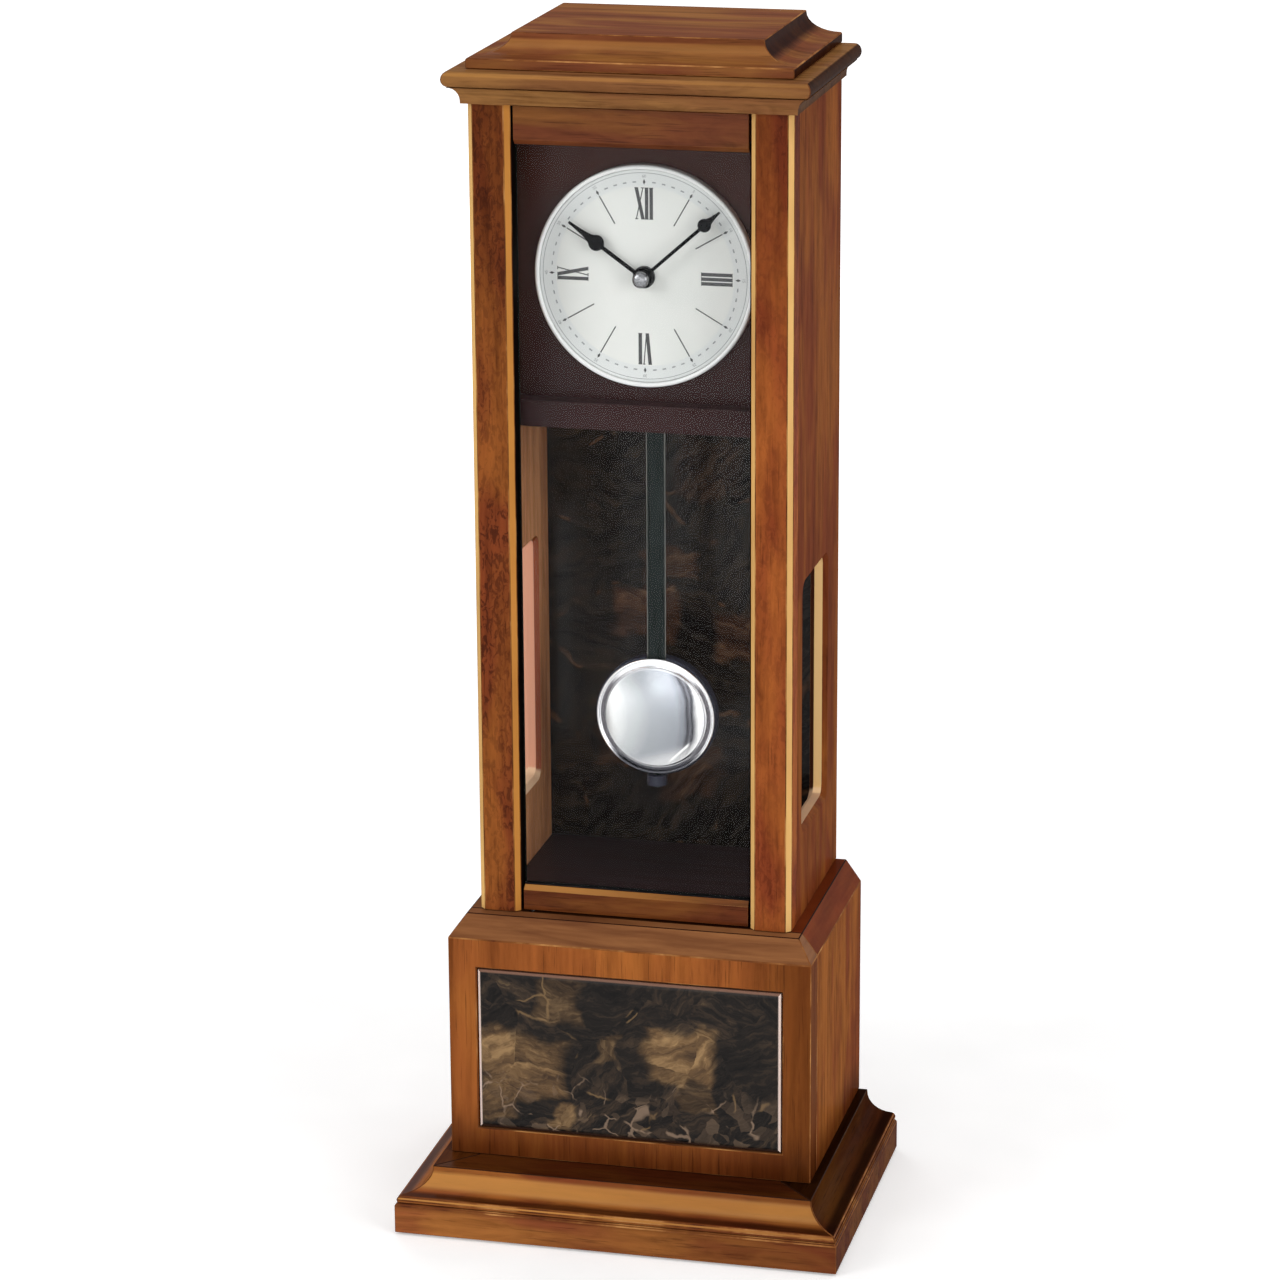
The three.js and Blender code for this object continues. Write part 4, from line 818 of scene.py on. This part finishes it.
def minute_numbers():
    """Very small plain numbers 5 to 60 outside the minute track."""
    radius = NUMBER_RADIUS * MM
    parts = []
    for count in range(1, 13):
        curve = bpy.data.curves.new("number", "FONT")
        curve.body = str(5 * count)
        curve.size = NUMBER_SIZE * MM
        curve.align_x = curve.align_y = "CENTER"
        curve.extrude = (PLATE_FRONT - PRINT_FRONT) / 2 * MM
        curve.resolution_u = 2
        holder = add_object("number", curve)
        bpy.context.view_layer.update()
        mesh = bpy.data.meshes.new_from_object(holder)
        bpy.data.objects.remove(holder)
        mesh.transform(Matrix.Rotation(pi / 2, 4, "X"))
        angle = radians(30 * count)
        place = Matrix.Translation((radius * sin(angle), (PRINT_FRONT + PLATE_FRONT) / 2 * MM,
                                    DIAL_CENTRE * MM + radius * cos(angle)))
        mesh.transform(place @ Matrix.Rotation(angle, 4, "Y"))
        parts.append(mesh)
    return join_meshes("dial_minute_numbers", parts)


def dial_print():
    """Raised print: four Roman figures, hour lines, diamonds, minute dashes and numbers."""
    line = bar(-LINE_HALF, LINE_HALF, LINE_INNER, LINE_OUTER)
    dash = bar(-DASH_HALF, DASH_HALF, TRACK_RADIUS - DASH_HALF_HEIGHT, TRACK_RADIUS + DASH_HALF_HEIGHT)
    diamond = [(0, TRACK_RADIUS - DIAMOND_HALF_HEIGHT), (DIAMOND_HALF, TRACK_RADIUS),
               (0, TRACK_RADIUS + DIAMOND_HALF_HEIGHT), (-DIAMOND_HALF, TRACK_RADIUS)]
    shapes = {
        "dial_hour_lines": [[on_dial(line, 30 * hour)] for hour in range(12) if hour % 3],
        "dial_diamonds": [[on_dial(diamond, 30 * hour)] for hour in range(12)],
        "dial_minute_track": [[on_dial(dash, 6 * minute)] for minute in range(60) if minute % 5],
        "dial_edge_line": [[circle(0, DIAL_CENTRE, radius, 128) for radius in EDGE_LINE_RADII]]}
    lines, diamonds, dashes, edge = (
        flat_shapes(name, loops, PRINT_FRONT, PLATE_FRONT) for name, loops in shapes.items())
    grey_black = ink("print_dark", (58, 58, 60), (74, 74, 76))
    grey = ink("print_grey", (148, 150, 152), (164, 166, 168))
    for material, meshes in ((grey_black, (figures(), lines, diamonds)),
                             (grey, (dashes, edge, minute_numbers()))):
        for mesh in meshes:
            new_piece(mesh, "case", material)


# ---- Round and shaped pieces that stand for coarser solids, in millimetres ----

def bob_face():
    """Polished pendulum face: rolled rim, groove and a low dome."""
    y_back, y_groove, y_rim = 13.2, 12.6, 11.6
    rim_out, rim_in, dome_radius, dome_rise = 25.2, 24.1, 22.2, 2.6
    sphere = (dome_radius ** 2 + dome_rise ** 2) / (2 * dome_rise)
    y_shoulder, shoulder = 11.2, 1.3
    dome = [(dome_radius + 0.1, y_groove)]
    dome += arc(dome_radius - shoulder, y_shoulder + 0.45 + shoulder, shoulder, -10, -58, 4)
    for i in range(17):
        r = (dome_radius - 1.0) * (1 - i / 16)
        dome.append((r, y_shoulder + (sphere - dome_rise) - sqrt(sphere ** 2 - r ** 2)))
    y_roll = y_rim + 0.55
    roll = arc((rim_out + rim_in) / 2, y_roll, (rim_out - rim_in) / 2, -15, -165, 10, 0.55)
    rim = [(rim_out, y_back), (rim_out, y_roll), *roll, (rim_in, y_roll),
           (rim_in, y_groove + 0.05), (rim_in - 0.1, y_groove)]
    mesh = lathe("bob_face_polished", [(0, y_back)] + rim + dome, 0, BOB_CENTRE, 160)
    piece = new_piece(mesh, "bob", bob_chrome(dome_radius * MM, rim_in * MM), ROUND_ANGLE)
    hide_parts("bob_face")


def dial_rim():
    """White rolled rim that holds the dial."""
    inner, outer, back, step = 40.0, 45.7, 0.8, -1.0
    profile = [(inner, back), (outer, back), *arc(44.75, -3.05, 0.95, 0, -180, 12),
               (43.8, step), (inner, step), (inner, back)]
    mesh = lathe("dial_rim_rolled", profile, 0, DIAL_CENTRE, 160)
    white = plastic("rim_white", (250, 250, 250), (254, 254, 254), 0.2, 0.000004, 1.0)
    piece = new_piece(mesh, "case", white, ROUND_ANGLE)
    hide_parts("dial_rim")


def hand(name, body, node, turned, y_front, y_back, sizes, material):
    """Slim arm, round ball and drawn-out point, crowned by a small bevel.

    sizes are the length, the ball's distance and radius, the radii of the hub and of its
    bore, and half the arm's width.
    """
    length, ball_at, ball, hub, bore, w = sizes
    tip = w * 0.6
    hub_angle = degrees(asin(w / hub))
    foot = degrees(asin(w / ball))
    shoulder = 53.0
    right = [(w, hub * cos(radians(hub_angle)))]
    right += arc(0, ball_at, ball, -90 + foot, shoulder, 12)
    start, pull, end = right[-1], (w * 1.2, ball_at + ball * 1.35), (tip, length)
    for t in (i / 9 for i in range(1, 9)):
        right.append(tuple((1 - t) ** 2 * a + 2 * t * (1 - t) * b + t * t * c
                           for a, b, c in zip(start, pull, end)))
    right.append(end)
    left = [(-u, v) for u, v in reversed(right)]
    outline = right + left + arc(0, 0, hub, 90 + hub_angle, 450 - hub_angle, 40)[1:-1]
    hole = arc(0, 0, bore, 0, 345, 23)
    mesh = flat_shapes(name, [[on_dial(outline, turned), on_dial(hole, turned)]], y_front, y_back)
    piece = new_piece(mesh, body, material)
    crown = piece.modifiers.new("crown", "BEVEL")
    crown.width, crown.segments = 0.14 * MM, 2
    crown.limit_method, crown.angle_limit = "ANGLE", radians(50)
    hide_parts(node)


def hands():
    black = metal("hand_black", (14, 14, 15), (24, 24, 26), 0.34, grain=900, relief=0.000003)
    hand("hour_hand_crowned", "hour_hand", "hour_hand", 305.5, -6.3, -5.8,
         (37.6, 23.6, 3.3, 4.1, 2.125, 0.8), black)
    hand("minute_hand_crowned", "minute_hand", "minute_hand", 48.5, -8.0, -7.5,
         (43.0, 34.6, 2.75, 3.5, 1.225, 0.7), black)
    bore, radius, dome_foot, dome_rise = 1.225, 3.3, -10.2, 1.6
    profile = [(0, -10.4), (bore, -10.4), (bore, -8.2), (2.5, -8.2), (radius, -8.5),
               *arc(0, dome_foot, radius, 0, -81, 9, dome_rise), (0, dome_foot - dome_rise)]
    mesh = lathe("cap_nut_domed", profile, 0, DIAL_CENTRE, 64)
    nickel = metal("nut_nickel", (104, 105, 108), (146, 147, 150), 0.24)
    piece = new_piece(mesh, "minute_hand", nickel, ROUND_ANGLE)
    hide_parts("hand_cap_nut")


def cross_screw(node):
    """Pan-head screw with a cross recess, in place of the plain one."""
    low, high = (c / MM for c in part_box(node))
    x, z = (low.x + high.x) / 2, (low.z + high.z) / 2
    y_head, radius = high.y, (high.x - low.x) / 2
    shank, dome_rise, head_height = 1.2, 0.7, 1.4
    profile = [(0, low.y), (0.35, low.y + 0.2), (shank, low.y + 2.2), (shank, y_head - head_height),
               (radius, y_head - head_height),
               *arc(0, y_head - dome_rise, radius, 0, 75, 5, dome_rise), (0, y_head)]
    mesh = lathe(node + "_head", profile, x, z, 40)
    steel = metal(node + "_steel", (120, 118, 112), (168, 166, 160), 0.28)
    piece = new_piece(mesh, "case", steel, ROUND_ANGLE)
    near, far, depth = 0.22, 1.15, 0.75
    cross, quarter = [], [(near, near), (far, near), (far, -near)]
    for _ in range(4):
        cross += [(x + u, z + v) for u, v in quarter]
        quarter = [(v, -u) for u, v in quarter]
    cutter = add_object("recess", flat_shapes("recess", [[cross]], y_head - depth, y_head + 1))
    recess = piece.modifiers.new("recess", "BOOLEAN")
    recess.operation, recess.object = "DIFFERENCE", cutter
    cut = piece.evaluated_get(bpy.context.evaluated_depsgraph_get())
    finished = bpy.data.meshes.new_from_object(cut)
    piece.modifiers.clear()
    piece.data = finished
    bpy.data.objects.remove(cutter)
    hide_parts(node)


def knob_grip(material):
    """Knurled sleeve on the hand-setting knob."""
    low, high = (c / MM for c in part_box("setting_knob"))
    x, z = (low.x + high.x) / 2, (low.z + high.z) / 2
    ridges, inner, outer = 36, 6.2, 6.95
    root = outer - 0.4
    points = [on_circle(x, z, r, 2 * pi * (i + k) / ridges) for i in range(ridges)
              for k, r in ((0.0, outer), (0.45, outer), (0.6, root), (0.9, root))]
    hole = circle(x, z, inner, 72)
    mesh = flat_shapes("setting_knob_grip", [[points, hole]], high.y - 6.0, high.y - 1.2)
    new_piece(mesh, "setting_knob", material)


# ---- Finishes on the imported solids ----

EDGE_ANGLE = 32  # degrees; edges over it stay sharp, or are softened
FLAT_ANGLE = 0.3  # degrees; faces under it are merged before edges are softened
WELD_DISTANCE = 0.002  # millimetres


def sharp_edges_group():
    """Node group that shades a mesh smooth and keeps edges over EDGE_ANGLE sharp."""
    group = bpy.data.node_groups.new("shade_by_angle", "GeometryNodeTree")
    for way in ("INPUT", "OUTPUT"):
        group.interface.new_socket("Geometry", in_out=way, socket_type="NodeSocketGeometry")
    add, link = group.nodes.new, group.links.new
    start, end = add("NodeGroupInput"), add("NodeGroupOutput")
    smooth, sharp = (add("GeometryNodeSetShadeSmooth") for _ in range(2))
    angle, compare = add("GeometryNodeInputMeshEdgeAngle"), add("FunctionNodeCompare")
    compare.data_type, compare.operation = "FLOAT", "GREATER_THAN"
    compare.inputs[1].default_value = radians(EDGE_ANGLE)
    smooth.domain, sharp.domain = "FACE", "EDGE"
    sharp.inputs["Shade Smooth"].default_value = False
    link(start.outputs[0], smooth.inputs["Geometry"])
    link(smooth.outputs[0], sharp.inputs["Geometry"])
    link(angle.outputs["Unsigned Angle"], compare.inputs[0])
    link(compare.outputs[0], sharp.inputs["Selection"])
    link(sharp.outputs[0], end.inputs[0])
    return group


def finish_node(name, material, shading, edge=None, width=0.0):
    """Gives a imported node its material, smooth curves and, if asked, softened edges."""
    o = NODES[name]
    add = o.modifiers.new
    custom = o.data.attributes.get("custom_normal")
    if custom:
        o.data.attributes.remove(custom)
    o.data.materials.clear()
    o.data.materials.append(material)
    weld = add("weld", "WELD")
    weld.merge_threshold = WELD_DISTANCE * MM
    if width:
        merge = add("merge_flat", "DECIMATE")
        merge.decimate_type, merge.angle_limit = "DISSOLVE", radians(FLAT_ANGLE)
    add("shading", "NODES").node_group = shading
    if width:
        bevel = add("soft_edges", "BEVEL")
        bevel.width, bevel.segments = width * MM, 2
        bevel.limit_method, bevel.angle_limit = "ANGLE", radians(EDGE_ANGLE)
        bevel.harden_normals = True
        if edge:
            o.data.materials.append(edge)
            bevel.material = 1
    add("even_normals", "WEIGHTED_NORMAL").keep_sharp = True


BOARD_FOOT = 0.0272  # where the boards of the base meet the moulding, in metres
# Node, grain axis, shift of the figure, and what sets its colour apart, painted shade among it.
WOOD = [
    ("plinth_board", "x", 0.31, dict(light=1.10, olive=0.3, coat=0.06, ends=0.4, dark_bands=[
        ("Z", 0.014, 0.003, 0.7), ("X", 0.0945, 0.19, 0.66)])),
    ("base_moulding_front", "x", 1.13, dict(
        light=0.90, coat=0.12, ledge=0.95, crest=(0.6, 0.15, 0.95, 0.8),
        dark_bands=[("X", 0.094, 0.17, 0.5)])),
    ("base_moulding_left", "y", 2.41, dict(
        light=0.85, coat=0.06, ledge=0.95, crest=(0.4, 0.15, 0.95, 1.0))),
    # Painted shade: light 0.20 makes a dark copy of the moulding for the side that faces right.
    ("base_moulding_right", "y", 3.17, dict(light=0.20, coat=0.01, ledge=0.9)),
    ("base_front_board", "z", 4.29, dict(
        light=1.06, ledge=0.75, slope=(1.0, PLAIN), hues=(0.5, 0.85), figure=0.5, dark_bands=[
            ("Z", BOARD_FOOT, 0.026, 1.0), ("X", 0.0775, 0.045, 0.85), ("X", -0.0775, 0.004, 0.4)])),
    ("base_side_left", "z", 5.03, dict(ledge=0.75, slope=(0.8, PLAIN), dark_bands=[
        ("Z", BOARD_FOOT, 0.018, 0.8), ("Y", -0.039, 0.004, 0.4)])),
    # Painted shade: the right side's top bevel takes a dark red tint.
    ("base_side_right", "z", 6.11, dict(light=0.90, coat=0.03, ledge=0.9, slope=(0.9, SHADED_RED), dark_bands=[
        ("Z", BOARD_FOOT, 0.022, 1.0), ("Y", -0.039, 0.003, 0.6)])),
    ("base_back_board", "z", 7.37, dict(light=0.85, coat=0.12)),
    ("base_top_board", "x", 8.23, dict(
        light=0.42, coat=0.12, ledge=0.6, olive=0.4, figure=0.3, ends=0.3)),
    ("case_side_left", "z", 9.41, dict(light=0.78, windowed=True)),
    # Painted shade: the right side is a darker copy.
    ("case_side_right", "z", 10.07, dict(light=0.70, coat=0.03, red=0.3, windowed=True)),
    ("frieze_board", "x", 11.59, dict(light=0.88, olive=1.0, ends=0.8, hues=(0.4, 1.0))),
    ("cornice_board", "x", 12.31, dict(
        light=0.78, olive=0.9, ends=1.0, hues=(0.5, 1.0), crest=(0.3, 0.3, 0.9, 0.6))),
    ("lid_board", "x", 13.73, dict(
        light=0.82, olive=0.5, figure=0.2, ends=1.0, crest=(0.25, 0.3, 0.9, 1.0))),
    # Painted shade: the top rail is a darker copy, for the shadow it lies in.
    ("door_top_rail", "x", 14.19, dict(light=0.60, coat=0.12, olive=0.28)),
    ("door_bottom_rail", "x", 15.83, dict(light=0.50, coat=0.12, crest=(0.6, 0.3, 0.9, 0.15)))]
POSTS = [
    ("post_left", 16.37, dict(
        light=0.76, figure=1.4, gold=srgb(206, 140, 66), mottle=0.8, red=0.35,
        dark_bands=[("Z", 0.474, 0.15, 0.6)])),
    ("post_right", 17.91, dict(light=0.97, mottle=0.4, red=0.7, dark_bands=[("Z", 0.474, 0.14, 0.7)]))]
# Widths of softened edges, in millimetres.
BOARD_EDGE, POST_EDGE = 0.35, 0.3
SOFTENED = {"battery_cover": 0.35, "pendulum_bracket": 0.3, "chime_switch": 0.2, "dial_housing": 0.4,
            "chamber_floor": 0.2, "back_panel": 0.25, "rating_nut": 0.25, "bob_body": 0.3,
            "setting_knob": 0.3, "pendulum_rod": 0.1}


def finish_nodes():
    shading = sharp_edges_group()
    edge = edge_wood()
    for name, grain, shift, stain in WOOD:
        wood = walnut(name, grain, shift, **stain)
        bright = None if "windowed" in stain else edge
        finish_node(name, wood, shading, bright, BOARD_EDGE)
    for name, shift, stain in POSTS:
        wood = walnut(name, "z", shift, rub_and_highlight=0.95, blackened=OPENING_HALF, **stain)
        finish_node(name, wood, shading, edge, POST_EDGE)
    black = plastic("black_moulding", (30, 30, 33), (42, 42, 45), 0.36, coat=0.2)
    for material, names in (
            (felt(), "base_felt"), (hardboard(), "back_panel"),
            (dark_board(), "chamber_floor case_top_board"),
            (pearl("lining_pearl", 0.37, LINING_PATCHES, LINING_GLINT, 24.0, dim=0.72), "rear_lining"),
            (pearl("inlay_pearl", 0.11, INLAY_PATCHES, INLAY_GLINT, 44.0, 0.062, True), "inlay_plate"),
            (clear_glass(), "door_glass"), (housing_plastic(), "dial_housing"),
            (dial_white(), "dial_plate"), (rod_finish(), "pendulum_rod"), (copper_coil(), "drive_coil"),
            (battery_sleeve(), "battery_lower battery_upper"),
            (plastic("bob_back_black", (44, 46, 58), (62, 64, 80), 0.34, coat=0.15),
             "bob_body rating_nut"),
            (plastic("black_seal", (10, 10, 11), (18, 18, 19), 0.55), "glass_seal_top glass_seal_bottom"),
            (metal("plain_steel", (140, 141, 142), (182, 183, 184), 0.24, (1, 1, 0.2)),
             "door_strike_plate door_pivot_top door_pivot_bottom door_magnet pendulum_hanger"),
            (metal("gear_brass", (168, 124, 58), (212, 168, 92), 0.26),
             "hour_wheel minute_wheel motion_wheel"),
            (black, "bush_nut movement_front movement_body battery_cover chime_speaker chime_switch "
                    "pendulum_bracket setting_knob")):
        for name in names.split():
            finish_node(name, material, shading, width=SOFTENED.get(name, 0.0))
    knob_grip(black)


# ---- Room: floor, lamps and background ----

FLOOR_LIFT = (0.34, 0.9)  # near the clock and far from it
WORLD_LIGHT = 0.36
LAMP_TARGET = Vector((0, 0, 0.25))
# Name, place, width and height in metres, and watts.
LAMPS = [("key_left", (-1.5, -1.6, 1.3), 1.0, 1.4, 17), ("fill_right", (1.7, -1.2, 0.8), 0.9, 1.4, 15),
         ("top", (0.1, -0.2, 2.0), 1.2, 1.2, 10), ("front_low", (0.1, -2.2, 0.4), 1.4, 0.7, 6),
         ("back_left", (-1.3, 1.9, 1.0), 1.0, 1.3, 13), ("back_right", (1.2, 2.0, 0.8), 1.0, 1.3, 11)]


def make_floor():
    mesh = bpy.data.meshes.new("floor")
    mesh.from_pydata([(-6, -6, 0), (6, -6, 0), (6, 6, 0), (-6, 6, 0)], [], [(0, 1, 2, 3)])
    floor = add_object("floor", mesh)
    s = Shader("floor_pale")
    paper = s.add("ShaderNodeBsdfDiffuse", {"Color": s.ramp(
        s.noise(30, 3), [(0.3, (0.80, 0.80, 0.80, 1)), (0.7, (0.84, 0.84, 0.84, 1))])})
    where = s.where()
    lift = s.span(s.distance(where["X"], where["Y"]), 0.3, 2.2, *FLOOR_LIFT)
    glow = s.add("ShaderNodeEmission", {"Color": (1, 1, 1, 1), "Strength": s.times(s.seen(), lift)})
    mesh.materials.append(s.end(s.add("ShaderNodeAddShader", {0: paper.outputs[0], 1: glow.outputs[0]})))


def make_world():
    world = bpy.data.worlds.new("world")
    SCENE.world = world
    s = Shader("world", world)
    strength = s.add("ShaderNodeMapRange", {"Value": s.seen(), "To Min": WORLD_LIGHT, "To Max": 1.0})
    s.end(s.add("ShaderNodeBackground", {"Color": (1, 1, 1, 1), "Strength": strength.outputs["Result"]}))


def area_lamp(name, place, width, height, watts):
    data = bpy.data.lights.new(name, "AREA")
    data.shape = "RECTANGLE"
    data.size, data.size_y, data.energy = width, height, watts
    lamp = add_object(name, data)
    lamp.location = place
    lamp.rotation_mode = "QUATERNION"
    lamp.rotation_quaternion = (LAMP_TARGET - Vector(place)).to_track_quat("-Z", "Y")


# ---- Build ----

make_camera()
finish_nodes()
dial_rim()
dial_print()
hands()
bob_face()
for corner in ("bottom_left", "bottom_right", "top_left", "top_right"):
    cross_screw("back_screw_" + corner)
make_floor()
make_world()
for lamp in LAMPS:
    area_lamp(*lamp)

SCENE.view_settings.view_transform = "Standard"
